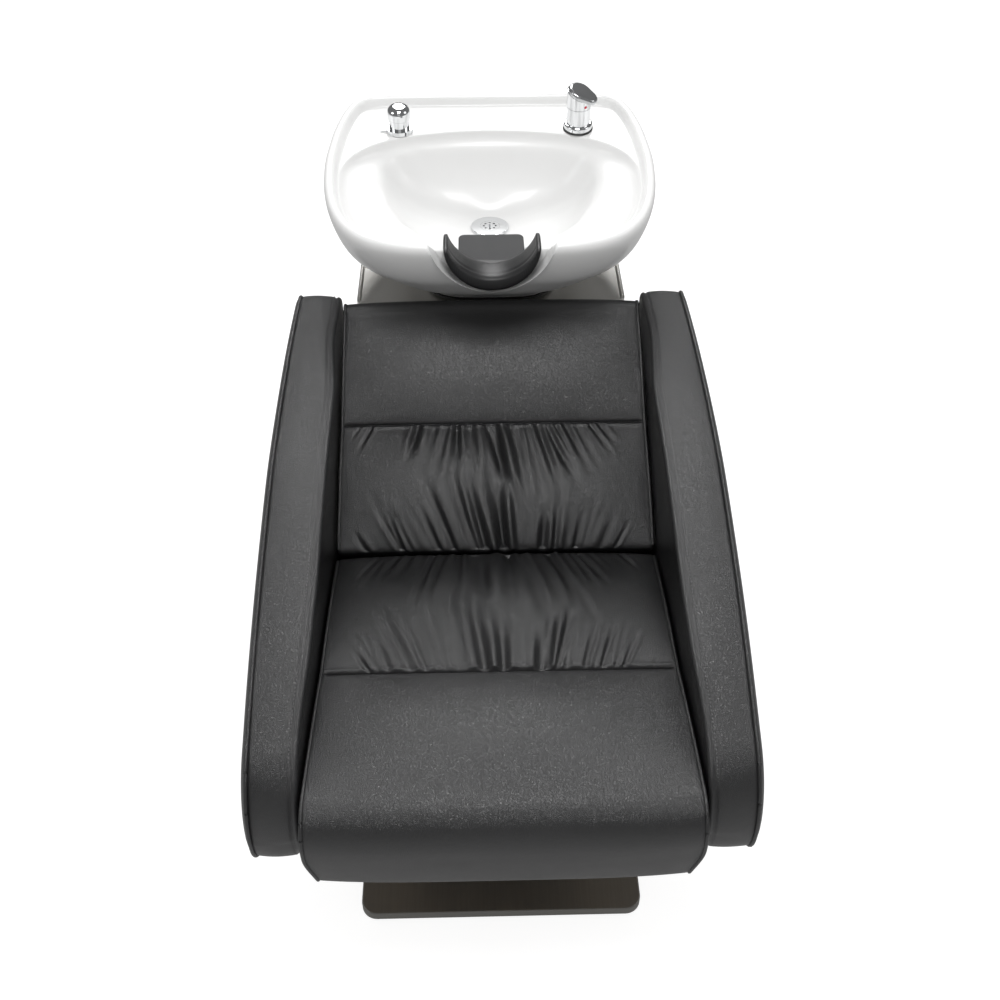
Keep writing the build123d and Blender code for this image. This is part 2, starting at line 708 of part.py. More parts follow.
def make_drain_nut():
    """Six-sided nut that clamps the flange to the ceramic."""
    nut = extrude(RegularPolygon(DRAIN_NUT_RADIUS, 6), DRAIN_NUT_HEIGHT)
    nut = Pos(0, DRAIN_Y, DRAIN_NUT_Z) * nut
    inner = DRAIN_HOLE_RADIUS - DRAIN_THREAD_CLEARANCE
    return nut - cylinder(inner, DRAIN_NUT_Z, DRAIN_GASKET_Z, 0, DRAIN_Y)


def make_strainer():
    """Lift-out hair strainer: a drilled disc on a short skirt inside the flange."""
    top = BOWL_FLOOR_Z + DRAIN_FLANGE_HEIGHT
    radius = DRAIN_BORE_RADIUS - STRAINER_CLEARANCE
    disc = cylinder(radius, top - STRAINER_HEIGHT, top, 0, DRAIN_Y)
    for turn in range(STRAINER_HOLES):
        angle = 2 * math.pi * turn / STRAINER_HOLES
        reach = radius * STRAINER_CIRCLE_SHARE
        x = reach * math.cos(angle)
        y = DRAIN_Y + reach * math.sin(angle)
        disc -= cylinder(STRAINER_HOLE_RADIUS, top - STRAINER_HEIGHT, top, x, y)
    disc += cylinder(STRAINER_HOLE_RADIUS, top, top + STRAINER_HEIGHT, 0, DRAIN_Y)
    return disc


def make_tailpiece():
    """Straight pipe from the drain flange down to the trap."""
    return ring(TAIL_RADIUS, TAIL_RADIUS - TAIL_WALL, TRAP_TOP_Z, TAIL_TOP_Z + TAIL_LAP, 0, DRAIN_Y)


def make_bottle_trap():
    """Bottle trap: a turned body with a union nut on top and a cup below."""
    low = TRAP_TOP_Z - TRAP_HEIGHT
    neck = TRAP_RADIUS * TRAP_NECK_SHARE
    profile = Polyline(
        (0, low), (neck, low), (TRAP_RADIUS, low + TRAP_RADIUS - neck),
        (TRAP_RADIUS, TRAP_TOP_Z - TRAP_RADIUS), (neck, TRAP_TOP_Z - neck),
        (neck, TRAP_TOP_Z), (0, TRAP_TOP_Z), (0, low),
    )
    body = revolve(Plane.XZ * make_face(profile), Axis.Z)
    return Pos(0, DRAIN_Y, 0) * body


def make_waste_pipe():
    """Elbow pipe from the trap's side down towards the floor."""
    start = (0, DRAIN_Y + TRAP_RADIUS * TRAP_NECK_SHARE, WASTE_Z)
    corner = (0, DRAIN_Y + WASTE_OFFSET, WASTE_Z)
    end = (0, DRAIN_Y + WASTE_OFFSET, WASTE_END_Z)
    path = FilletPolyline(start, corner, end, radius=WASTE_RADIUS * WASTE_BEND_SHARE)
    section = Plane(origin=start, z_dir=(0, 1, 0)) * (
        Circle(WASTE_RADIUS) - Circle(WASTE_RADIUS - WASTE_WALL)
    )
    pipe = sweep(section, path=path)
    return pipe - Pos(0, DRAIN_Y, TRAP_TOP_Z - TRAP_HEIGHT / 2) * Cylinder(TRAP_RADIUS, TRAP_HEIGHT)


# Mixer tap

def lid_place():
    """The slanted plane between the mixer's cap and its lever, with X towards the lever's tip."""
    slope = math.degrees(math.atan2(MIXER_CAP_HIGH - MIXER_CAP_LOW, 2 * MIXER_CAP_RADIUS))
    middle = (MIXER_CAP_HIGH + MIXER_CAP_LOW) / 2
    base = RIM_PLACE * Pos(MIXER_X, MIXER_LOCAL_Y, middle - DECK_DROP)
    return base * Rot(0, 0, MIXER_LEVER_ANGLE) * Rot(0, slope, 0)


def make_mixer_seal():
    """Black rubber ring under the mixer's base."""
    seal = deck_cylinder(MIXER_SEAL_RADIUS, 0, MIXER_SEAL_HEIGHT, MIXER_X, MIXER_LOCAL_Y)
    return seal - deck_cylinder(SHANK_RADIUS, 0, MIXER_SEAL_HEIGHT, MIXER_X, MIXER_LOCAL_Y)


def make_mixer_ring():
    """Chrome base ring round the mixer's body."""
    top = MIXER_SEAL_HEIGHT + MIXER_RING_HEIGHT
    band = cylinder(MIXER_RING_RADIUS, MIXER_SEAL_HEIGHT, top)
    band = fillet(band.edges().sort_by(Axis.Z)[-1], MIXER_RING_HEIGHT * RING_ROUND_SHARE)
    band -= cylinder(MIXER_BODY_RADIUS, 0, top)
    return RIM_PLACE * Pos(MIXER_X, MIXER_LOCAL_Y, -DECK_DROP) * band


def make_mixer_body():
    """Fixed chrome body with its threaded shank, bored for the cartridge."""
    body = cylinder(MIXER_BODY_RADIUS, MIXER_SEAL_HEIGHT, MIXER_BODY_TOP)
    body += cylinder(SHANK_RADIUS, -SHANK_LENGTH, MIXER_SEAL_HEIGHT)
    body -= cylinder(CARTRIDGE_RADIUS, MIXER_RING_HEIGHT, MIXER_BODY_TOP)
    return RIM_PLACE * Pos(MIXER_X, MIXER_LOCAL_Y, -DECK_DROP) * body


def make_mixer_cartridge():
    """Ceramic-disc cartridge inside the body, bored for the stem."""
    core = cylinder(CARTRIDGE_RADIUS, MIXER_RING_HEIGHT, MIXER_BODY_TOP)
    core -= cylinder(
        MIXER_STEM_RADIUS + MIXER_STEM_CLEARANCE,
        MIXER_BODY_TOP - MIXER_STEM_RADIUS * 2, MIXER_BODY_TOP,
    )
    return RIM_PLACE * Pos(MIXER_X, MIXER_LOCAL_Y, -DECK_DROP) * core


def make_mixer_cap():
    """Turning cap, cut on a slant under the lever, with the stem that enters the cartridge."""
    low = MIXER_BODY_TOP + MIXER_SPLIT
    cap = cylinder(MIXER_CAP_RADIUS, low, MIXER_CAP_HIGH + MIXER_LID_HEIGHT)
    cap += cylinder(MIXER_STEM_RADIUS, MIXER_BODY_TOP - MIXER_STEM_RADIUS, low)
    cap = RIM_PLACE * Pos(MIXER_X, MIXER_LOCAL_Y, -DECK_DROP) * cap
    reach = 4 * MIXER_CAP_RADIUS
    cap -= lid_place() * Pos(0, 0, reach / 2) * Box(reach, reach, reach)
    return cap - mark_solid()


def mark_solid():
    """The round temperature mark let into the cap's front."""
    centre = (MIXER_BODY_TOP + MIXER_CAP_LOW) / 2
    place = RIM_PLACE * Pos(MIXER_X, MIXER_LOCAL_Y, centre - DECK_DROP) * Rot(0, 0, MARK_ANGLE)
    pin = Pos(MIXER_CAP_RADIUS - MARK_DEPTH / 2, 0, 0) * Rot(0, 90, 0)
    return place * pin * Cylinder(MARK_RADIUS, MARK_DEPTH * 2)


def make_temperature_mark():
    """Red and blue mark on the mixer's cap."""
    cap = cylinder(MIXER_CAP_RADIUS, MIXER_BODY_TOP, MIXER_CAP_HIGH)
    return mark_solid() & (RIM_PLACE * Pos(MIXER_X, MIXER_LOCAL_Y, -DECK_DROP) * cap)


def make_mixer_lever():
    """Slanted lever: a round lid drawn out into a beak, rounded on top."""
    tip = MIXER_BEAK_REACH
    outline = make_hull([
        *Circle(MIXER_CAP_RADIUS).edges(), *(Pos(tip, 0) * Circle(MIXER_BEAK_RADIUS)).edges(),
    ])
    lid = extrude(outline, MIXER_LID_HEIGHT)
    lid = fillet(lid.faces().sort_by(Axis.Z)[-1].edges(), MIXER_LID_HEIGHT * LID_ROUND_SHARE)
    return lid_place() * Pos(0, 0, MIXER_LID_GAP) * lid


def make_mixer_nut():
    """Nut that clamps the mixer's shank under the basin's deck."""
    nut = extrude(RegularPolygon(SHANK_NUT_RADIUS, 6), SHANK_NUT_HEIGHT)
    nut -= cylinder(SHANK_RADIUS, 0, SHANK_NUT_HEIGHT)
    drop = DECK_DROP + BASIN_WALL + SHANK_NUT_HEIGHT
    return RIM_PLACE * Pos(MIXER_X, MIXER_LOCAL_Y, -drop) * nut


# Hand shower

def shower_place():
    """The deck point that the hand shower stands on."""
    return RIM_PLACE * Pos(SHOWER_X, MIXER_LOCAL_Y, -DECK_DROP)


def make_shower_guide():
    """Chrome ring with a side lug and the sleeve that guides the shower's stem."""
    guide = cylinder(SHOWER_RING_RADIUS, 0, SHOWER_RING_HEIGHT)
    guide += box(
        (-SHOWER_LUG_REACH, -SHOWER_LUG_WIDTH / 2, 0), (0, SHOWER_LUG_WIDTH / 2, SHOWER_RING_HEIGHT / 2)
    )
    guide += cylinder(SHOWER_GUIDE_RADIUS, -SHOWER_GUIDE_LENGTH, 0)
    bore = SHOWER_STEM_RADIUS + SHOWER_STEM_CLEARANCE
    guide -= cylinder(bore, -SHOWER_GUIDE_LENGTH, SHOWER_RING_HEIGHT)
    return shower_place() * guide


def make_shower_head():
    """Domed shower head with a waist line and its stem."""
    low = SHOWER_RING_HEIGHT
    top = low + SHOWER_HEAD_HEIGHT
    waist = low + SHOWER_HEAD_HEIGHT * SHOWER_WAIST_SHARE
    dome = SHOWER_HEAD_RADIUS * SHOWER_DOME_SHARE
    edge = SHOWER_HEAD_RADIUS - SHOWER_WAIST_RADIUS
    corner = dome * (1 - math.sqrt(2) / 2)
    profile = Polyline(
        (0, low - SHOWER_STEM_LENGTH), (SHOWER_STEM_RADIUS, low - SHOWER_STEM_LENGTH),
        (SHOWER_STEM_RADIUS, low), (SHOWER_WAIST_RADIUS, low), (SHOWER_WAIST_RADIUS, waist - edge),
        (SHOWER_HEAD_RADIUS, waist), (SHOWER_HEAD_RADIUS, top - dome),
    )
    arc = ThreePointArc(
        (SHOWER_HEAD_RADIUS, top - dome), (SHOWER_HEAD_RADIUS - corner, top - corner),
        (SHOWER_HEAD_RADIUS - dome, top),
    )
    close = Polyline((SHOWER_HEAD_RADIUS - dome, top), (0, top), (0, low - SHOWER_STEM_LENGTH))
    head = revolve(Plane.XZ * make_face(Curve() + [profile, arc, close]), Axis.Z)
    return shower_place() * head


# Water inlets

def inlet_y():
    """How far back the inlets stand in the pedestal."""
    return PEDESTAL_FRONT_Y + INLET_FROM_FRONT


def make_inlet_bracket():
    """Folded steel bracket that carries the two stop valves on the pedestal's front wall."""
    y = inlet_y()
    half = INLET_X + INLET_BODY_RADIUS * 2
    wall = PEDESTAL_FRONT_Y + STEEL_SHEET
    shelf = box((-half, wall, INLET_Z), (half, y + INLET_BODY_RADIUS, INLET_Z + STEEL_SHEET))
    back = box((-half, wall, INLET_Z), (half, wall + STEEL_SHEET, INLET_Z + INLET_BODY_LENGTH))
    bracket = shelf + back
    for sx in (-1, 1):
        bracket -= cylinder(INLET_NECK_RADIUS, INLET_Z, INLET_Z + STEEL_SHEET, sx * INLET_X, y)
    return bracket


def make_water_inlets():
    """Hot and cold stop valves: threaded inlet below, neck in the shelf, body on it, outlet on top."""
    y = inlet_y()
    valves = []
    seat = INLET_Z + STEEL_SHEET
    top = seat + INLET_BODY_LENGTH
    for sx in (-1, 1):
        x = sx * INLET_X
        valve = cylinder(INLET_BODY_RADIUS, seat, top, x, y)
        valve += cylinder(INLET_NECK_RADIUS, INLET_Z - INLET_NECK_GAP, seat, x, y)
        valve += cylinder(INLET_RADIUS, seat - INLET_LENGTH, INLET_Z - INLET_NECK_GAP, x, y)
        valve += cylinder(INLET_OUTLET_RADIUS, top, top + INLET_OUTLET_LENGTH, x, y)
        valve -= cylinder(INLET_BORE, seat - INLET_LENGTH, seat, x, y)
        valves.append(valve)
    return Compound(children=valves)


# Neck rest

def make_neck_rest():
    """Moulded neck rest: a crescent roll that fills the notch and a tongue into the bowl."""
    outer = Circle(NOTCH_RADIUS - NECK_GAP)
    crescent = outer - Pos(0, NECK_ROLL_LIFT) * Circle(NECK_ROLL_INNER)
    reach = 2 * NOTCH_RADIUS
    crescent -= Pos(0, reach / 2 + NECK_HORN_RISE) * Rectangle(reach, reach)
    roll = extrude(crescent, NECK_ROLL_LENGTH)
    roll = fillet(roll.edges().filter_by(GeomType.CIRCLE), NECK_ROUND)
    roll = Pos(0, NECK_FRONT_Y + NECK_ROLL_LENGTH, NOTCH_CENTRE_Z) * Rot(90, 0, 0) * roll
    tongue = RectangleRounded(NECK_TONGUE_WIDTH, NECK_TONGUE_LENGTH, NECK_TONGUE_ROUND)
    tongue = extrude(tongue, NECK_TONGUE_THICKNESS)
    rim = tongue.faces().sort_by(Axis.Z)[-1].edges()
    tongue = fillet(rim, NECK_TONGUE_THICKNESS * EDGE_ROUND_SHARE)
    top = NOTCH_CENTRE_Z + NECK_ROLL_LIFT - NECK_ROLL_INNER
    start = NECK_FRONT_Y + NECK_ROLL_LENGTH / 2
    place = Pos(0, start, top - NECK_TONGUE_THICKNESS) * Rot(NECK_TONGUE_ANGLE, 0, 0)
    return roll + place * Pos(0, NECK_TONGUE_LENGTH / 2, 0) * tongue


# Upholstery

REACH_Y = BODY_REAR_Y - ARM_FRONT_Y
INNER_AT_ORIGIN = ARM_INNER_REAR + (ARM_INNER_FRONT - ARM_INNER_REAR) * BODY_REAR_Y / REACH_Y
ALONG = (math.cos(math.radians(BACK_ANGLE)), math.sin(math.radians(BACK_ANGLE)))
BEHIND = (ALONG[1], -ALONG[0])
CUSHION_REAR_Y = BODY_REAR_Y - REAR_PANEL_THICKNESS - SOFT_GAP


def across(profiles, half_at_origin):
    """Loft side profiles across X. Each profile comes with its share of the half width."""
    sections = [
        side_plane(half_at_origin * share, TOE * share) * profile for share, profile in profiles
    ]
    return loft(sections, ruled=len(profiles) == 2)


def behind(point, distance):
    """A point moved square to the backrest, away from the sitter."""
    return point[0] + BEHIND[0] * distance, point[1] + BEHIND[1] * distance


def cushion(profile_of):
    """A cushion with a crown in the middle and sides drawn in towards the piping."""
    mirrored = [-share for share in CUSHION_STATION_SHARES[:0:-1]]
    stations = []
    for share in (*mirrored, *CUSHION_STATION_SHARES):
        fall = 1 - abs(share) ** CUSHION_CROWN_POWER
        crown_share = CUSHION_SIDE_CROWN_SHARE + (1 - CUSHION_SIDE_CROWN_SHARE) * fall
        draw = CUSHION_EDGE_DRAW * abs(share) ** CUSHION_EDGE_POWER
        stations.append((share, profile_of(crown_share, draw)))
    return across(stations, INNER_AT_ORIGIN - CUSHION_SIDE_GAP)


def seat_profile(crown_share, draw):
    """Side profile of the seat cushion: two puffed panels and a waterfall front."""
    crown = SEAT_CROWN * crown_share
    rear_top = (CROTCH_Y - CUSHION_SEAM_GAP, CROTCH_Z - draw)
    drop = (rear_top[1] - SEAT_UNDER_Z - SOFT_GAP) / -BEHIND[1]
    rear_low = behind(rear_top, drop)
    seam = (SEAT_SEAM_Y, SEAT_SEAM_Z - SEAT_SEAM_DIP * crown_share - draw)
    front_top = (SEAT_FRONT_TOP_Y, SEAT_FRONT_TOP_Z - draw)
    nose = (-HALF_LENGTH + draw, SEAT_NOSE_Z)
    front_low = (nose[0] + CUSHION_EDGE_DRAW, SEAT_UNDER_Z + SOFT_GAP)
    rear_mid = ((rear_top[0] + seam[0]) / 2, (rear_top[1] + seam[1]) / 2 + crown * DEEP_PANEL_SHARE)
    front_mid = ((front_top[0] + seam[0]) / 2, (front_top[1] + seam[1]) / 2 + crown)
    nose_mid = (
        nose[0] + (front_top[0] - nose[0]) * NOSE_SHARE,
        front_top[1] - (front_top[1] - nose[1]) * NOSE_SHARE,
    )
    return make_face(Curve() + [
        Line(rear_low, rear_top),
        ThreePointArc(rear_top, rear_mid, seam),
        ThreePointArc(seam, front_mid, front_top),
        ThreePointArc(front_top, nose_mid, nose),
        Line(nose, front_low),
        Line(front_low, rear_low),
    ])


def back_profile(crown_share, draw):
    """Side profile of the back cushion: gathered panel, channel, shoulder panel, rolled top."""
    crown = BACK_CROWN * crown_share
    low = behind((CROTCH_Y + CUSHION_SEAM_GAP, CROTCH_Z + CUSHION_SEAM_GAP), draw)
    seam = behind((BACK_SEAM_Y, BACK_SEAM_Z), draw + BACK_SEAM_DIP * crown_share - CUSHION_SEAM_GAP)
    top = behind((BACK_TOP_Y, BACK_TOP_Z), draw)
    low_mid = behind(((low[0] + seam[0]) / 2, (low[1] + seam[1]) / 2), -crown * DEEP_PANEL_SHARE)
    top_mid = behind(((top[0] + seam[0]) / 2, (top[1] + seam[1]) / 2), -crown)
    peak = ((top[0] + CUSHION_REAR_Y) / 2 + draw * PEAK_DRAW_SHARE, BACK_PEAK_Z - draw)
    rear_top = (CUSHION_REAR_Y, BACK_TOP_Z - draw)
    low_rear = behind((CROTCH_Y, CROTCH_Z), BACK_THICKNESS)
    run = (CUSHION_REAR_Y - low_rear[0]) / ALONG[0]
    rear_low = (CUSHION_REAR_Y, low_rear[1] + run * ALONG[1])
    return make_face(Curve() + [
        ThreePointArc(low, low_mid, seam),
        ThreePointArc(seam, top_mid, top),
        ThreePointArc(top, peak, rear_top),
        Line(rear_top, rear_low),
        Line(rear_low, low_rear),
        Line(low_rear, low),
    ])


def arm_profile():
    """Side profile of an arm: rounded nose, long falling top, straight rear and flat bottom."""
    nose = (ARM_FRONT_Y, ARM_NOSE_Z)
    nose_top = (ARM_NOSE_TOP_Y, ARM_NOSE_TOP_Z)
    crest = (ARM_CREST_Y, ARM_CREST_Z)
    top_rear = (BODY_REAR_Y, ARM_TOP_Z)
    rear_low = (BODY_REAR_Y, ARM_REAR_LOW_Z)
    belly = (ARM_BELLY_Y, SEAT_UNDER_Z)
    low_front = (ARM_FRONT_Y + CUSHION_EDGE_DRAW, SEAT_UNDER_Z)
    slope = ThreePointArc(nose_top, (ARM_MID_Y, ARM_MID_Z), crest)
    face = make_face(Curve() + [
        TangentArc(nose_top, nose, tangent=-(slope % 0)),
        slope,
        TangentArc(crest, top_rear, tangent=slope % 1),
        Polyline(top_rear, rear_low, belly, low_front, nose),
    ])
    corners = face.vertices()
    face = fillet(corners.sort_by_distance((BODY_REAR_Y, ARM_TOP_Z, 0))[:1], ARM_REAR_CORNER)
    face = fillet(face.vertices().sort_by_distance((*low_front, 0))[:1], ARM_FRONT_CORNER)
    return fillet(face.vertices().sort_by_distance((*belly, 0))[:1], ARM_BELLY_CORNER)


def arm_place(side):
    """The inner face of an arm as a plane whose normal points outwards."""
    angle = math.radians(TOE)
    return Plane(
        origin=(side * INNER_AT_ORIGIN, 0, 0),
        x_dir=(-side * math.sin(angle), math.cos(angle), 0),
        z_dir=(math.cos(angle), side * math.sin(angle), 0),
    )


def make_arm(side):
    """Padded arm with rounded long edges, hollowed for its core and drilled for its bolts."""
    pad = extrude(arm_profile(), ARM_THICKNESS)
    pad = fillet(pad.edges().filter_by(Plane.XY), ARM_ROUND)
    if side < 0:
        pad = Pos(0, 0, -ARM_THICKNESS) * pad
    pad = arm_place(side) * pad
    pad -= make_arm_core(side)
    for x, y in arm_bolt_places(side):
        pad -= cylinder(BOLT_RADIUS, SEAT_UNDER_Z - OVERRUN, SEAT_UNDER_Z + ARM_CORE_MARGIN, x, y)
    return pad


def make_arm_core(side):
    """Plywood core that gives the arm its shape."""
    core = extrude(offset(arm_profile(), -ARM_CORE_MARGIN), ARM_CORE_THICKNESS)
    inner = (ARM_THICKNESS - ARM_CORE_THICKNESS) / 2
    lift = inner if side > 0 else -inner - ARM_CORE_THICKNESS
    return arm_place(side) * Pos(0, 0, lift) * core


def arm_bolt_places(side):
    """Where the bolts go up through the seat board into an arm."""
    places = []
    for y in (ARM_BOLT_FRONT_Y, (ARM_BOLT_FRONT_Y + ARM_BOLT_REAR_Y) / 2, ARM_BOLT_REAR_Y):
        inner = INNER_AT_ORIGIN - y * math.tan(math.radians(TOE))
        places.append((side * (inner + ARM_THICKNESS / 2), y))
    return places


def board_slab(profile_points, half_at_origin):
    """A board with the given side profile between the two toed-out arm faces."""
    profile = make_face(Polyline(*profile_points, profile_points[0]))
    return across([(-1, profile), (1, profile)], half_at_origin)


def make_seat_board():
    """Plywood board under the seat and the arms."""
    low = SEAT_UNDER_Z - BOARD
    points = (
        (SEAT_BOARD_FRONT_Y, low), (ARM_BELLY_Y, low),
        (ARM_BELLY_Y, SEAT_UNDER_Z), (SEAT_BOARD_FRONT_Y, SEAT_UNDER_Z),
    )
    board = board_slab(points, INNER_AT_ORIGIN + ARM_THICKNESS * BOARD_LAP_SHARE)
    for side in (-1, 1):
        for x, y in arm_bolt_places(side):
            board -= cylinder(BOLT_RADIUS, low, SEAT_UNDER_Z, x, y)
    for x, y in pillar_bolt_places():
        board -= cylinder(BOLT_RADIUS, low, SEAT_UNDER_Z - BOARD * BOARD_SKIN_SHARE, x, y)
    return board


def make_back_board():
    """Sloping plywood board behind the back cushion."""
    low = behind((CROTCH_Y, CROTCH_Z), BACK_THICKNESS + SOFT_GAP)
    run = (CUSHION_REAR_Y - low[0]) / ALONG[0]
    high = (CUSHION_REAR_Y, low[1] + run * ALONG[1])
    high_low = (CUSHION_REAR_Y, high[1] - BOARD / ALONG[0])
    points = (low, high, high_low, behind(low, BOARD))
    return board_slab(points, INNER_AT_ORIGIN - CUSHION_SIDE_GAP)


def make_rear_panel():
    """Upright covered board that closes the body behind the backrest."""
    front = BODY_REAR_Y - REAR_PANEL_THICKNESS
    points = (
        (front, ARM_REAR_LOW_Z), (BODY_REAR_Y, ARM_REAR_LOW_Z),
        (BODY_REAR_Y, BACK_TOP_Z - CUSHION_EDGE_DRAW), (front, BACK_TOP_Z - CUSHION_EDGE_DRAW),
    )
    panel = board_slab(points, INNER_AT_ORIGIN - CUSHION_SIDE_GAP)
    for x, z in back_bolt_places():
        hole = Pos(x, BODY_REAR_Y, z) * Rot(90, 0, 0)
        panel -= hole * Cylinder(BOLT_RADIUS, 2 * REAR_PANEL_THICKNESS * BOLT_BITE_SHARE)
    return panel


def make_under_panel():
    """Sloping covered board that closes the body under the backrest."""
    run = (BODY_REAR_Y - REAR_PANEL_THICKNESS - ARM_BELLY_Y) / (BODY_REAR_Y - ARM_BELLY_Y)
    high_z = SEAT_UNDER_Z + (ARM_REAR_LOW_Z - SEAT_UNDER_Z) * run
    low = (ARM_BELLY_Y, SEAT_UNDER_Z)
    high = (BODY_REAR_Y - REAR_PANEL_THICKNESS, high_z)
    points = (low, high, (high[0], high[1] + UNDER_PANEL), (low[0], low[1] + UNDER_PANEL))
    return board_slab(points, INNER_AT_ORIGIN - CUSHION_SIDE_GAP)


# Pillar, bracket and bolts

def pillar_bolt_places():
    """The four bolts at the pillar's flanges."""
    x = PILLAR_WIDTH / 2 - FLANGE_WIDTH / 2
    middle = PILLAR_FRONT_Y + PILLAR_DEPTH / 2
    reach = PILLAR_DEPTH / 2 - FLANGE_WIDTH / 2
    return [(sx * x, middle + sy * reach) for sx in (-1, 1) for sy in (-1, 1)]


def make_seat_pillar():
    """Folded steel box that carries the seat, with turned-in flanges at both ends."""
    low = PLATE_TOP
    high = SEAT_UNDER_Z - BOARD
    middle = PILLAR_FRONT_Y + PILLAR_DEPTH / 2
    outer = RectangleRounded(PILLAR_WIDTH, PILLAR_DEPTH, PEDESTAL_CORNER)
    inner = RectangleRounded(
        PILLAR_WIDTH - 2 * PILLAR_SHEET, PILLAR_DEPTH - 2 * PILLAR_SHEET, PEDESTAL_CORNER - PILLAR_SHEET,
    )
    mouth = RectangleRounded(
        PILLAR_WIDTH - 2 * FLANGE_WIDTH, PILLAR_DEPTH - 2 * FLANGE_WIDTH, PEDESTAL_CORNER,
    )
    pillar = extrude(outer, high - low)
    pillar -= Pos(0, 0, PILLAR_SHEET) * extrude(inner, high - low - 2 * PILLAR_SHEET)
    pillar -= extrude(mouth, high - low)
    pillar = Pos(0, middle, low) * pillar
    for x, y in pillar_bolt_places():
        pillar -= cylinder(BOLT_RADIUS, low, high, x, y)
    return pillar


def make_body_bolts():
    """Bolts under the seat board: four into the pillar, three into each arm."""
    bolts = []
    board_low = SEAT_UNDER_Z - BOARD
    flange = board_low - PILLAR_SHEET
    for x, y in pillar_bolt_places():
        head = cylinder(BOLT_HEAD_RADIUS, flange - BOLT_HEAD_HEIGHT, flange, x, y)
        bolts.append(head + cylinder(BOLT_RADIUS, flange, SEAT_UNDER_Z - BOARD * BOARD_SKIN_SHARE, x, y))
    for side in (-1, 1):
        for x, y in arm_bolt_places(side):
            head = cylinder(BOLT_HEAD_RADIUS, board_low - BOLT_HEAD_HEIGHT, board_low, x, y)
            shank = cylinder(BOLT_RADIUS, board_low, SEAT_UNDER_Z + ARM_CORE_MARGIN, x, y)
            bolts.append(head + shank)
    return Compound(children=bolts)


def make_pillar_screws():
    """Screws that hold the pillar's lower flange to the base plate."""
    screws = []
    seat = PLATE_TOP + PILLAR_SHEET
    for x, y in pillar_bolt_places():
        head = cylinder(BOLT_HEAD_RADIUS, seat, seat + BOLT_HEAD_HEIGHT, x, y)
        screws.append(head + cylinder(BOLT_RADIUS, PLATE_TOP - PLATE_SHEET, seat, x, y))
    return Compound(children=screws)


def back_bolt_places():
    """The four bolts between the pedestal and the body."""
    x = BRACKET_WIDTH / 2 - FLANGE_WIDTH
    z_reach = BRACKET_HEIGHT / 2 - FLANGE_WIDTH
    return [(sx * x, BRACKET_Z + sz * z_reach) for sx in (-1, 1) for sz in (-1, 1)]


def make_back_bracket():
    """Steel spacer plate between the pedestal and the body's rear panel."""
    plate = box(
        (-BRACKET_WIDTH / 2, BODY_REAR_Y, BRACKET_Z - BRACKET_HEIGHT / 2),
        (BRACKET_WIDTH / 2, PEDESTAL_FRONT_Y, BRACKET_Z + BRACKET_HEIGHT / 2),
    )
    for x, z in back_bolt_places():
        plate -= bar_along_y(BOLT_RADIUS, BODY_REAR_Y, PEDESTAL_FRONT_Y, x, z)
    return plate


def make_back_bolts():
    """Bolts from inside the pedestal through the spacer into the rear panel."""
    bolts = []
    wall = PEDESTAL_FRONT_Y + STEEL_SHEET
    tip = BODY_REAR_Y - REAR_PANEL_THICKNESS * BOLT_BITE_SHARE
    for x, z in back_bolt_places():
        shank = bar_along_y(BOLT_RADIUS, tip, wall, x, z)
        bolts.append(shank + bar_along_y(BOLT_HEAD_RADIUS, wall, wall + BOLT_HEAD_HEIGHT, x, z))
    return Compound(children=bolts)


PARTS = {
    "base_plate": make_base_plate,
    "floor_pads": make_floor_pads,
    "pedestal_shell": make_pedestal_shell,
    "pedestal_screws": make_pedestal_screws,
    "pedestal_deck": make_pedestal_deck,
    "service_door": make_service_door,
    "hinge_leaves": make_hinge_leaves,
    "hinge_pins": make_hinge_pins,
    "door_catch": make_door_catch,
    "basin": make_basin,
    "basin_gasket": make_basin_gasket,
    "drain_flange": make_drain_flange,
    "drain_seal": make_drain_seal,
    "drain_nut": make_drain_nut,
    "strainer": make_strainer,
    "tailpiece": make_tailpiece,
    "bottle_trap": make_bottle_trap,
    "waste_pipe": make_waste_pipe,
    "mixer_seal": make_mixer_seal,
    "mixer_ring": make_mixer_ring,
    "mixer_body": make_mixer_body,
    "mixer_cartridge": make_mixer_cartridge,
    "mixer_cap": make_mixer_cap,
    "mixer_lever": make_mixer_lever,
    "mixer_nut": make_mixer_nut,
    "temperature_mark": make_temperature_mark,
    "shower_guide": make_shower_guide,
    "shower_head": make_shower_head,
    "inlet_bracket": make_inlet_bracket,
    "water_inlets": make_water_inlets,
    "neck_rest": make_neck_rest,
    "seat_cushion": lambda: cushion(seat_profile),
    "back_cushion": lambda: cushion(back_profile),
    "left_arm": lambda: make_arm(-1),
    "right_arm": lambda: make_arm(1),
    "left_arm_core": lambda: make_arm_core(-1),
    "right_arm_core": lambda: make_arm_core(1),
    "seat_board": make_seat_board,
    "back_board": make_back_board,
    "rear_panel": make_rear_panel,
    "under_panel": make_under_panel,
    "seat_pillar": make_seat_pillar,
    "body_bolts": make_body_bolts,
    "pillar_screws": make_pillar_screws,
    "back_bracket": make_back_bracket,
    "back_bolts": make_back_bolts,
}

os.makedirs("parts", exist_ok=True)
for node, maker in PARTS.items():
    export_step(maker(), f"parts/{node}.step")
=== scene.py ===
import logging
import math
from dataclasses import dataclass
from enum import Enum

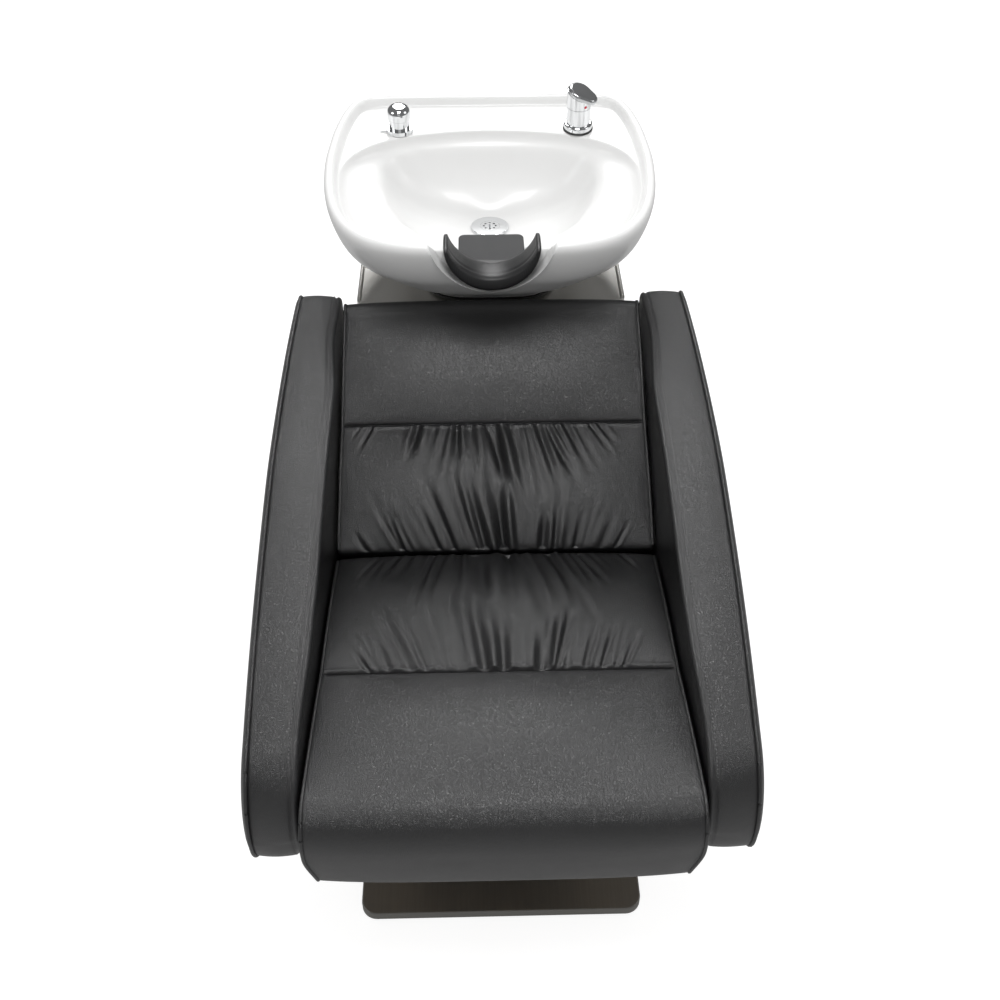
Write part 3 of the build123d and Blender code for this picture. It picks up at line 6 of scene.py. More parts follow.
import bpy
import numpy as np
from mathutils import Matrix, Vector

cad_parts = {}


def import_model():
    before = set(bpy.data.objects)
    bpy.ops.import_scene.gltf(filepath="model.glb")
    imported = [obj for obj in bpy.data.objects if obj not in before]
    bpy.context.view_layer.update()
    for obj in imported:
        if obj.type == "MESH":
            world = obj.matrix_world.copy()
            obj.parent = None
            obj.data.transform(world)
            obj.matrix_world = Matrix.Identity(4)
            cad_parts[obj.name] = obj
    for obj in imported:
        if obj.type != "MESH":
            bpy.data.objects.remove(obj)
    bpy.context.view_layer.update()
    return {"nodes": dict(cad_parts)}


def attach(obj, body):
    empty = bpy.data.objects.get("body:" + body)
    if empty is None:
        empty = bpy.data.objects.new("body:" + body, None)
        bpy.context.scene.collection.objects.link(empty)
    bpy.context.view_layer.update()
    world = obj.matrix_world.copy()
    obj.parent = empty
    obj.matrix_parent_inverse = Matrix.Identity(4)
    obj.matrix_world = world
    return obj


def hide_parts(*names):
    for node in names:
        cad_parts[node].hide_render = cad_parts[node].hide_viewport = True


LOG = logging.getLogger("hair_washing_bed")
MM = 0.001
QUARTER = np.pi / 2
Colour = tuple[float, float, float, float]
Triple = tuple[float, float, float]
Place = tuple[float, float]
Span = tuple[float, float]
Stretch = tuple[Place, Place | None, int]
Socket = bpy.types.NodeSocket
Material = bpy.types.Material
Piece = bpy.types.Object


class Side(Enum):
    """Which side of the bed a piece belongs to, as the sign of its X."""

    LEFT = -1
    RIGHT = 1


class Grain(Enum):
    """Stretch of a brushed steel's noise, so that the strokes run along one axis."""

    UPRIGHT = (900.0, 900.0, 9.0)
    LENGTHWISE = (700.0, 7.0, 700.0)


# Shader sums


class Value:
    """A number socket on which Python's operators add Math nodes."""

    def __init__(self, graph: "Graph", socket: Socket) -> None:
        """Keeps the socket and the graph that new nodes go into."""
        self.graph = graph
        self.socket = socket

    def math(self, operation: str, *others: "Value | float") -> "Value":
        """Adds one Math node.

        Args:
            operation: The node's operation.
            others: The second and third operand, where the operation has them.

        Returns:
            The node's result.
        """
        values = {0: self, **{index + 1: other for index, other in enumerate(others)}}
        return self.graph.number("ShaderNodeMath", {"operation": operation}, values)

    def __add__(self, other: "Value | float") -> "Value":
        """Sum of two values."""
        return self.math("ADD", other)

    def __mul__(self, other: "Value | float") -> "Value":
        """Product of two values."""
        return self.math("MULTIPLY", other)

    __radd__ = __add__
    __rmul__ = __mul__


class Graph:
    """The nodes of one material or of the world."""

    def __init__(self, name: str, world: bool = False) -> None:
        """Makes an empty material, or an empty world, with an output node.

        Args:
            name: The material's or the world's name.
            world: True for a world.
        """
        self.made = (bpy.data.worlds if world else bpy.data.materials).new(name)
        self.made.use_nodes = True
        self.tree = self.made.node_tree
        self.tree.nodes.clear()
        self.output = self.tree.nodes.new("ShaderNodeOutputWorld" if world else "ShaderNodeOutputMaterial")

    def node(self, kind: str, settings: dict, sockets: dict) -> bpy.types.Node:
        """Adds a node.

        Args:
            kind: The node's type.
            settings: Its own settings, set first.
            sockets: Values or links for its inputs.

        Returns:
            The node.
        """
        made = self.tree.nodes.new(kind)
        for key, setting in settings.items():
            setattr(made, key, setting)
        for key, value in sockets.items():
            if isinstance(value, Value):
                self.tree.links.new(value.socket, made.inputs[key])
            elif isinstance(value, Socket):
                self.tree.links.new(value, made.inputs[key])
            else:
                made.inputs[key].default_value = value
        return made

    def number(self, kind: str, settings: dict, sockets: dict, output: str | int = 0) -> Value:
        """Adds a node and returns one of its outputs as a value."""
        return Value(self, self.node(kind, settings, sockets).outputs[output])

    def place(self, stretch: Triple = (1.0, 1.0, 1.0), turn: float = 0.0) -> Socket:
        """Object coordinates, stretched and turned about Z.

        Args:
            stretch: Factor along each axis.
            turn: Turn in radians.

        Returns:
            The vector socket.
        """
        coordinates = self.node("ShaderNodeTexCoord", {}, {})
        sockets = {"Vector": coordinates.outputs["Object"], "Scale": stretch, "Rotation": (0.0, 0.0, turn)}
        return self.node("ShaderNodeMapping", {}, sockets).outputs["Vector"]

    def axes(self, stretch: Triple = (1.0, 1.0, 1.0), turn: float = 0.0) -> tuple[Value, Value, Value]:
        """Object coordinates, stretched and turned about Z, as one value for each axis.

        Args:
            stretch: Factor along each axis.
            turn: Turn about Z in radians.

        Returns:
            X, Y and Z.
        """
        split = self.node("ShaderNodeSeparateXYZ", {}, {"Vector": self.place(stretch, turn)})
        x, y, z = (Value(self, socket) for socket in split.outputs)
        return x, y, z

    def noise(self, where: Socket, scale: float, detail: float = 3.0) -> Value:
        """Soft noise from 0 to 1."""
        sockets = {"Vector": where, "Scale": scale, "Detail": detail}
        return self.number("ShaderNodeTexNoise", {}, sockets, "Fac")

    def cells(self, where: Socket, scale: float) -> Value:
        """Distance to the nearest edge between leather-like cells."""
        settings = {"feature": "DISTANCE_TO_EDGE"}
        return self.number("ShaderNodeTexVoronoi", settings, {"Vector": where, "Scale": scale}, "Distance")

    def ray(self, kind: str) -> Value:
        """1 for rays of one kind, such as Camera, and 0 for all others."""
        return self.number("ShaderNodeLightPath", {}, {}, f"Is {kind} Ray")

    def blend(self, factor: Value, low: Colour, high: Colour) -> Socket:
        """A colour between two colours."""
        sockets = {0: factor, 6: low, 7: high}
        return self.node("ShaderNodeMix", {"data_type": "RGBA"}, sockets).outputs[2]

    def bump(self, height: Value, strength: float, distance: float) -> Socket:
        """A normal from a height."""
        sockets = {"Height": height, "Strength": strength, "Distance": distance}
        return self.node("ShaderNodeBump", {}, sockets).outputs["Normal"]

    def end(self, shader: Socket) -> Material | bpy.types.World:
        """Links a shader to the output and returns the material or the world."""
        self.tree.links.new(shader, self.output.inputs["Surface"])
        return self.made

    def surface(self, sockets: dict) -> Material:
        """Ends the graph with a Principled shader and returns the material."""
        return self.end(self.node("ShaderNodeBsdfPrincipled", {}, sockets).outputs["BSDF"])


def grey(level: float) -> Colour:
    """A grey of one level."""
    return (level, level, level, 1.0)


def worn(red: float, green: float, blue: float) -> tuple[Colour, Colour]:
    """A metal's colour where it is smudged, a tenth darker, and where it is clean."""
    return (0.9 * red, 0.9 * green, 0.9 * blue, 1.0), (red, green, blue, 1.0)


# Finishes: scales are waves in a metre, depths and pitches are metres


@dataclass(frozen=True)
class Leather:
    """Black upholstery leather: fine cells, pores and a soft sheen."""

    name: str = "leather"
    dark: Colour = (0.006, 0.006, 0.0065, 1.0)
    light: Colour = (0.011, 0.011, 0.012, 1.0)
    roughness: float = 0.24
    patch_scale: float = 9.0
    pore_scale: float = 1600.0
    cell_scale: float = 620.0
    cell_edge: float = 0.25
    depth: float = 0.0006

    def build(self) -> Material:
        """Cells and pores as bump, slow noise as colour and gloss change.

        Returns:
            The material.
        """
        graph = Graph(self.name)
        where = graph.place()
        patches = graph.noise(where, self.patch_scale)
        pores = graph.noise(where, self.pore_scale, 2.0)
        cells = graph.cells(where, self.cell_scale).math("MINIMUM", self.cell_edge)
        return graph.surface({
            "Base Color": graph.blend(patches, self.dark, self.light),
            "Roughness": patches * 0.12 + pores * 0.06 + self.roughness,
            "Normal": graph.bump(cells * 2.4 + pores * 0.35, 0.55, self.depth),
            "Specular IOR Level": 1.0,
        })


@dataclass(frozen=True)
class BrushedSteel:
    """Brushed steel with strokes along one axis and smudges."""

    name: str
    dark: Colour
    light: Colour
    grain: Grain
    roughness: float = 0.21
    smudge_scale: float = 7.0
    depth: float = 0.0002

    def build(self) -> Material:
        """Stretched noise gives the strokes in colour, gloss and bump.

        Returns:
            The material.
        """
        graph = Graph(self.name)
        strokes = graph.noise(graph.place(self.grain.value), 1.0, 4.0)
        smudges = graph.noise(graph.place(), self.smudge_scale, 4.0)
        return graph.surface({
            "Base Color": graph.blend(strokes * 0.6 + smudges * 0.4, self.dark, self.light),
            "Metallic": 1.0,
            "Roughness": strokes * 0.16 + smudges * 0.10 + self.roughness,
            "Normal": graph.bump(strokes, 0.18, self.depth),
        })


@dataclass(frozen=True)
class Clouded:
    """What the plain finishes share: slow clouds in colour and gloss, a fine relief in gloss and bump."""

    name: str
    low: Colour
    high: Colour
    roughness: float
    cloud_scale: float = 40.0
    cloud_gloss: float = 0.1
    relief_scale: float = 900.0
    relief_detail: float = 2.0
    relief_gloss: float = 0.0
    strength: float = 0.06
    depth: float = 0.0002
    metallic: float = 0.0
    coat: float = 0.0
    coat_roughness: float = 0.03

    def build(self) -> Material:
        """Adds both noises and the shader.

        Returns:
            The material.
        """
        graph = Graph(self.name)
        clouds = graph.noise(graph.place(), self.cloud_scale)
        relief = graph.noise(graph.place(), self.relief_scale, self.relief_detail)
        return graph.surface({
            "Base Color": graph.blend(clouds, self.low, self.high),
            "Metallic": self.metallic,
            "Roughness": clouds * self.cloud_gloss + relief * self.relief_gloss + self.roughness,
            "Normal": graph.bump(relief, self.strength, self.depth),
            "Coat Weight": self.coat,
            "Coat Roughness": self.coat_roughness,
        })


@dataclass(frozen=True)
class Plastic(Clouded):
    """Moulded plastic, paint or thread with a faint flow pattern."""


@dataclass(frozen=True)
class Metal(Clouded):
    """Polished or satin metal with smudges and fine scratches."""

    cloud_scale: float = 30.0
    cloud_gloss: float = 0.05
    relief_gloss: float = 0.02
    strength: float = 0.02
    depth: float = 0.0001
    metallic: float = 1.0


@dataclass(frozen=True)
class Glaze(Clouded):
    """White sanitary glaze over ceramic: a clear coat over a faintly clouded, slowly waved white."""

    name: str = "white_glaze"
    low: Colour = (0.68, 0.68, 0.675, 1.0)
    high: Colour = (0.73, 0.73, 0.725, 1.0)
    roughness: float = 0.27
    cloud_scale: float = 5.0
    cloud_gloss: float = 0.06
    relief_scale: float = 22.0
    relief_detail: float = 1.0
    strength: float = 0.05
    depth: float = 0.002
    coat: float = 0.3
    coat_roughness: float = 0.16


@dataclass(frozen=True)
class Rubber(Clouded):
    """Matte rubber with a fine speckle."""

    low: Colour = (0.018, 0.018, 0.018, 1.0)
    high: Colour = (0.040, 0.040, 0.040, 1.0)
    roughness: float = 0.45
    cloud_scale: float = 14.0
    relief_scale: float = 1200.0
    relief_gloss: float = 0.1
    strength: float = 0.25
    depth: float = 0.0003


@dataclass(frozen=True)
class DiamondRubber:
    """Soft black rubber, with a fine raised diamond texture on the tongue. The raised diamonds are coloured
    lighter as a painted highlight, which makes the tongue lighter than the roll.
    """

    name: str = "neck_rest_rubber"
    dark: Colour = (0.006, 0.006, 0.0065, 1.0)
    # Colour of the painted highlight on the raised diamonds, lighter than the black rubber
    light: Colour = (0.075, 0.075, 0.078, 1.0)
    roughness: float = 0.36
    pitch: float = 0.0046
    roll_end: float = 0.1965
    speckle_scale: float = 1400.0
    depth: float = 0.0008

    def build(self) -> Material:
        """Two crossing sine waves, turned by 45 degrees, make rows of diamonds, faint on the roll. Their
        height also lightens the colour: a painted highlight on the diamonds' tops that leaves the roll darker
        than the tongue.

        Returns:
            The material.
        """
        graph = Graph(self.name)
        turns = 2.0 * math.pi / self.pitch
        across, along, _ = graph.axes((turns, turns, turns), math.pi / 4)
        diamonds = (across.math("SINE") * along.math("SINE")).math("ABSOLUTE")
        speckle = graph.noise(graph.place(), self.speckle_scale, 2.0)
        tongue = graph.axes()[1].math("GREATER_THAN", self.roll_end)
        # The tongue carries the full painted highlight on its diamonds and the roll only a trace, so the roll
        # stays darker
        raised = diamonds * (tongue * 0.85 + 0.15)
        return graph.surface({
            "Base Color": graph.blend(raised, self.dark, self.light),
            "Roughness": speckle * 0.15 + tongue * 0.12 + self.roughness,
            "Normal": graph.bump(raised + speckle * 0.15, 0.6, self.depth),
        })


@dataclass(frozen=True)
class Plywood:
    """Birch plywood: long grain and thin glue lines on its edges."""

    name: str = "plywood"
    low: Colour = (0.42, 0.29, 0.17, 1.0)
    high: Colour = (0.66, 0.50, 0.33, 1.0)
    grain: Triple = (60.0, 3.0, 60.0)
    ply: float = 0.0015
    depth: float = 0.0004

    def build(self) -> Material:
        """Noise stretched along Y as grain, and thin layers in Z.

        Returns:
            The material.
        """
        graph = Graph(self.name)
        grain = graph.noise(graph.place(self.grain), 1.0, 6.0)
        layers = graph.axes((1.0, 1.0, math.pi / self.ply))[2].math("SINE") * 0.18
        return graph.surface({
            "Base Color": graph.blend(grain + layers, self.low, self.high),
            "Roughness": grain * 0.15 + 0.5,
            "Normal": graph.bump(grain, 0.2, self.depth),
        })


@dataclass(frozen=True)
class BottomCloth:
    """Thin black lining cloth with a plain weave."""

    name: str = "bottom_cloth"
    dark: float = 0.020
    light: float = 0.040
    pitch: float = 0.0012
    cloud_scale: float = 20.0
    depth: float = 0.0004

    def build(self) -> Material:
        """Two crossing sine waves make the weave.

        Returns:
            The material.
        """
        graph = Graph(self.name)
        turns = 2.0 * math.pi / self.pitch
        across, along, _ = graph.axes((turns, turns, turns))
        clouds = graph.noise(graph.place(), self.cloud_scale)
        return graph.surface({
            "Base Color": graph.blend(clouds, grey(self.dark), grey(self.light)),
            "Roughness": clouds * 0.1 + 0.75,
            "Normal": graph.bump(across.math("SINE") * along.math("SINE"), 0.4, self.depth),
        })


@dataclass(frozen=True)
class TemperatureMark:
    """Red and blue enamel halves."""

    name: str = "temperature_mark"
    middle_x: float = 0.155
    red: Colour = (0.55, 0.01, 0.03, 1.0)
    blue: Colour = (0.02, 0.08, 0.50, 1.0)
    speckle_scale: float = 600.0

    def build(self) -> Material:
        """The colour changes where X passes the mark's middle.

        Returns:
            The material.
        """
        graph = Graph(self.name)
        half = graph.axes()[0].math("GREATER_THAN", self.middle_x)
        speckle = graph.noise(graph.place(), self.speckle_scale)
        return graph.surface({
            "Base Color": graph.blend(half, self.blue, self.red),
            "Roughness": speckle * 0.1 + 0.2,
        })


# Curves and surfaces


def arc_through(start: Place, middle: Place, end: Place, count: int) -> np.ndarray:
    """Points on the circle through three places, from the first to the last.

    The centre is where the two chords' middle lines cross; the angle runs evenly past the middle place.

    Args:
        start: First place.
        middle: A place on the way.
        end: Last place.
        count: How many points.

    Returns:
        An array of count places, without the last one.
    """
    a, b, c = (np.array(place, float) for place in (start, middle, end))
    turn = 2 * (a[0] * (b[1] - c[1]) + b[0] * (c[1] - a[1]) + c[0] * (a[1] - b[1]))
    squares = np.array([a @ a, b @ b, c @ c])
    centre = np.array([
        squares @ np.array([b[1] - c[1], c[1] - a[1], a[1] - b[1]]),
        squares @ np.array([c[0] - b[0], a[0] - c[0], b[0] - a[0]]),
    ]) / turn
    angles = [math.atan2(*(place - centre)[::-1]) for place in (a, b, c)]
    sweep = (angles[2] - angles[0]) % (2 * math.pi)
    if (angles[1] - angles[0]) % (2 * math.pi) > sweep:
        sweep -= 2 * math.pi
    along = angles[0] + sweep * np.arange(count) / count
    radius = np.linalg.norm(a - centre)
    return centre + radius * np.stack([np.cos(along), np.sin(along)], 1)


def outline(stretches: list[Stretch]) -> list[np.ndarray]:
    """The parts of a closed outline, each an arc or a straight line up to the start of the next one.

    Args:
        stretches: For each part its start, a place on its arc or None where it is straight, and its number
            of points. A part without points only ends the one before it.

    Returns:
        The parts' points.
    """
    parts = []
    for (start, middle, count), (end, _, _) in zip(stretches, stretches[1:] + stretches[:1]):
        if middle is None:
            parts.append(np.linspace(start, end, count, endpoint=False))
        else:
            parts.append(arc_through(start, middle, end, count))
    return parts


def run_along(line: np.ndarray) -> np.ndarray:
    """Length along a line up to each of its points."""
    return np.concatenate([[0.0], np.cumsum(np.linalg.norm(np.diff(line, axis=0), axis=1))])


def places_at(wanted: np.ndarray, known: np.ndarray, line: np.ndarray) -> np.ndarray:
    """A line's places where the known numbers of its points reach the wanted ones."""
    return np.stack([np.interp(wanted, known, column) for column in line.T], 1)


def lengths_to(parts: list[np.ndarray]) -> list[float]:
    """Length along a closed chain of lines up to the start of each part and to the end.

    Args:
        parts: The lines' points.

    Returns:
        One length more than there are parts.
    """
    run = run_along(np.vstack([*parts, parts[0][:1]]))
    starts = np.cumsum([0] + [len(part) for part in parts])
    return [float(run[index]) for index in starts]


def evenly(points: np.ndarray, count: int, closed: bool) -> np.ndarray:
    """The same line with its points an equal length apart.

    Args:
        points: The line's points.
        count: How many points are wanted.
        closed: True if the line returns to its start.

    Returns:
        The new points.
    """
    line = np.vstack([points, points[:1]]) if closed else points
    run = run_along(line)
    return places_at(np.linspace(0.0, run[-1], count, endpoint=not closed), run, line)


def smoothed(loop: np.ndarray, rounds: int) -> np.ndarray:
    """A closed line with its corners eased: each round averages each point with its two neighbours.

    Args:
        loop: The line's points.
        rounds: How many rounds.

    Returns:
        The new points.
    """
    for _ in range(rounds):
        loop = (np.roll(loop, 1, 0) + 2 * loop + np.roll(loop, -1, 0)) / 4
    return loop


def outward(loop: np.ndarray) -> np.ndarray:
    """Unit normals of a closed flat loop, pointing out of it.

    The tangent at a point runs between its two neighbours, and the normal is the tangent turned by
    90 degrees.

    Args:
        loop: The loop's points.

    Returns:
        One normal for each point.
    """
    tangent = np.roll(loop, -1, 0) - np.roll(loop, 1, 0)
    tangent /= np.linalg.norm(tangent, axis=1, keepdims=True) + 1e-12
    area = np.sum(loop[:, 0] * np.roll(loop[:, 1], -1) - np.roll(loop[:, 0], -1) * loop[:, 1])
    return np.stack([tangent[:, 1], -tangent[:, 0]], 1) * (1.0 if area > 0 else -1.0)


def onto_spine(loop: np.ndarray, spine: tuple[Place, Place]) -> np.ndarray:
    """For each place of a profile, the place at the same Y on the line that its side faces close on.

    Args:
        loop: The profile.
        spine: The line's two ends, past which no place goes.

    Returns:
        The places on the line.
    """
    first, last = np.array(spine)
    along = np.clip((loop[:, :1] - first[0]) / (last[0] - first[0]), 0.0, 1.0)
    return first + along * (last - first)


def step(x: np.ndarray | float, start: float, end: float) -> np.ndarray:
    """Smooth rise from 0 at the start to 1 at the end: 3t squared less 2t cubed."""
    t = np.clip((x - start) / (end - start), 0.0, 1.0)
    return t * t * (3.0 - 2.0 * t)


def quads(index: np.ndarray) -> np.ndarray:
    """The four-sided faces between the rows of a grid of point numbers, each row being a closed ring."""
    right = np.roll(index, -1, 1)
    return np.stack([index[:-1], right[:-1], right[1:], index[1:]], 2).reshape(-1, 4)


def piece_from_grid(name: str, grid: np.ndarray, material: Material) -> Piece:
    """A closed piece from a grid of points in metres, with its faces turned so that its volume is positive.

    Args:
        name: The piece's name.
        grid: Points as rows, columns and three coordinates. Each row is a closed ring, and the first and
            the last row close up.
        material: The piece's material.

    Returns:
        The new object.
    """
    flat = grid.reshape(-1, 3)
    faces = quads(np.arange(len(flat)).reshape(grid.shape[:2]))
    corners = flat[faces]
    volume = np.einsum("ij,ij->", np.cross(corners[:, 0], corners[:, 1]), corners[:, 2])
    volume += np.einsum("ij,ij->", np.cross(corners[:, 0], corners[:, 2]), corners[:, 3])
    if volume < 0:
        faces = faces[:, ::-1]
    return piece_from_faces(name, flat, faces, material)


def put_in_scene(name: str, data: bpy.types.ID) -> Piece:
    """A new object in the scene from a mesh, a lamp or a camera.

    Args:
        name: The object's name.
        data: What it shows.

    Returns:
        The object.
    """
    made = bpy.data.objects.new(name, data)
    bpy.context.scene.collection.objects.link(made)
    return made


def finished_mesh(piece: Piece) -> bpy.types.Mesh:
    """A new mesh like the piece's own with its modifiers applied."""
    return bpy.data.meshes.new_from_object(piece.evaluated_get(bpy.context.evaluated_depsgraph_get()))


def piece_from_faces(name: str, points: np.ndarray, faces: np.ndarray, material: Material) -> Piece:
    """A smooth piece from points and four-sided faces, with its doubled points merged.

    Args:
        name: The piece's name.
        points: Places in metres.
        faces: Four point numbers a face.
        material: The piece's material.

    Returns:
        The new object.
    """
    mesh = bpy.data.meshes.new(name)
    mesh.from_pydata(points.tolist(), [], faces.tolist())
    mesh.validate()
    made = put_in_scene(name, mesh)
    weld = made.modifiers.new("weld", "WELD")
    weld.merge_threshold = 0.02 * MM
    merged = finished_mesh(made)
    made.modifiers.clear()
    made.data = merged
    bpy.data.meshes.remove(mesh)
    merged.name = name
    merged.polygons.foreach_set("use_smooth", np.ones(len(merged.polygons), bool))
    merged.materials.clear()
    merged.materials.append(material)
    return made


def tube(path: np.ndarray, radius: float, sides: int = 10) -> np.ndarray:
    """A round tube along a path, with both ends drawn to a point.

    Each ring lies square to the path: its axes are the path's direction crossed with a slanting line, or
    with X where the path runs along that line, and crossed again.

    Args:
        path: Points along the tube, in metres.
        radius: The tube's radius.
        sides: Points in a ring.

    Returns:
        The rings as a grid.
    """
    slant = np.array([0.0, 0.6, 0.8])
    ahead = np.gradient(path, axis=0)
    ahead /= np.linalg.norm(ahead, axis=1, keepdims=True)
    across = np.cross(ahead, slant)
    aligned = np.linalg.norm(across, axis=1, keepdims=True) < 0.2
    across = np.where(aligned, np.cross(ahead, np.array([1.0, 0.0, 0.0])), across)
    across /= np.linalg.norm(across, axis=1, keepdims=True)
    up = np.cross(ahead, across)
    angle = (2 * np.pi * np.arange(sides) / sides)[None, :, None]
    size = np.full((len(path), 1, 1), radius)
    size[0] = size[-1] = 0.0
    return path[:, None, :] + size * (np.cos(angle) * across[:, None, :] + np.sin(angle) * up[:, None, :])


# Upholstery, in millimetres up to the grids


@dataclass(frozen=True)
class BodySizes:
    """The body's sizes, the same as the solids'."""

    inner_front: float = 272.0
    inner_rear: float = 250.0
    front_y: float = -568.0
    rear_y: float = 276.0

    def inner(self, y: np.ndarray) -> np.ndarray:
        """Half the width between the arms at a place along Y."""
        slope = (self.inner_front - self.inner_rear) / (self.rear_y - self.front_y)
        return self.inner_rear + (self.rear_y - y) * slope


@dataclass(frozen=True)
class Gathers:
    """Creases that fan from a panel's sewn edges."""

    seed: int
    count: int
    depth: float = 3.4
    lean: float = 0.16
    fan: float = 0.62
    fan_scatter: float = 0.06
    spread: float = 0.50
    reach: float = 225.0
    widths: Span = (4.0, 8.0)
    short_shares: Span = (0.16, 0.34)
    long_shares: Span = (0.1, 0.85)
    depth_shares: Span = (0.6, 1.3)
    sewn_ease: float = 5.0
    sewn_share: float = 0.2
    half_panel: float = 242.0
    side_ease: float = 40.0
    bells: tuple[Span, ...] = ((0.0, -1.0), (1.6, 0.5), (-1.7, 0.3))

    def height(self, x: np.ndarray, run: np.ndarray, panel: float) -> np.ndarray:
        """Height of the gathered leather.

        Each crease is a bell-shaped valley between two lower ridges, given as places and heights. It starts
        at one sewn edge, fans outward from the middle, widens and fades. The long ones lie in the middle and
        the short ones at the sides.

        Args:
            x: Place across.
            run: Length from the panel's first edge.
            panel: The panel's length.

        Returns:
            The height.
        """
        random = np.random.RandomState(self.seed)
        total = np.zeros(np.broadcast(x, run).shape)
        for number in range(self.count):
            middle = float(np.clip(random.normal(0.0, self.spread), -1.0, 1.0)) * self.reach
            inner = 1.0 - abs(middle) / self.reach
            width = random.uniform(*self.widths) * (1.0 + 0.5 * inner)
            share = random.uniform(*self.short_shares) + random.uniform(*self.long_shares) * inner ** 1.3
            deep = self.depth * random.uniform(*self.depth_shares) * (0.55 + 0.45 * inner)
            fan = self.fan * middle / self.reach + random.normal(0.0, self.fan_scatter)
            sign = 1.0 if number % 2 == 0 else -1.0
            start = run if sign > 0 else panel - run
            widening = 0.75 + 0.8 * np.clip(start / panel, 0, 1)
            offset = (x - middle - (fan + self.lean * sign * inner) * start) / (width * widening)
            fade = step(panel * share - start, 0.0, panel * share * 0.8) * (start >= 0.0) * (start <= panel)
            total += deep * fade * sum(high * np.exp(-((offset - at) ** 2)) for at, high in self.bells)
        edge = step(run, 0.0, self.sewn_ease) * step(panel - run, 0.0, self.sewn_ease)
        share = self.sewn_share + (1.0 - self.sewn_share) * edge
        return total * share * step(self.half_panel - np.abs(x), 0.0, self.side_ease)


@dataclass(frozen=True)
class SlowWaves:
    """Soft unevenness of stuffed leather: a sum of sine waves in random directions."""

    seed: int
    size: float
    depth: float
    count: int = 8

    def height(self, x: np.ndarray, y: np.ndarray) -> np.ndarray:
        """Height at places across and along a panel.

        Args:
            x: Place across.
            y: Place along.

        Returns:
            The height.
        """
        random = np.random.RandomState(self.seed)
        total = np.zeros(np.broadcast(x, y).shape)
        for _ in range(self.count):
            angle = random.uniform(0, 2 * np.pi)
            wave = self.size * random.uniform(0.6, 1.6)
            phase = random.uniform(0, 2 * np.pi)
            total += np.sin(2 * np.pi * (x * np.cos(angle) + y * np.sin(angle)) / wave + phase)
        return total * self.depth / self.count


@dataclass(frozen=True)
class Marks:
    """Lengths along a cushion's profile: to its seam, its smooth panel's end, its seen end and in all."""

    seam: float
    smooth_end: float
    seen_end: float
    total: float


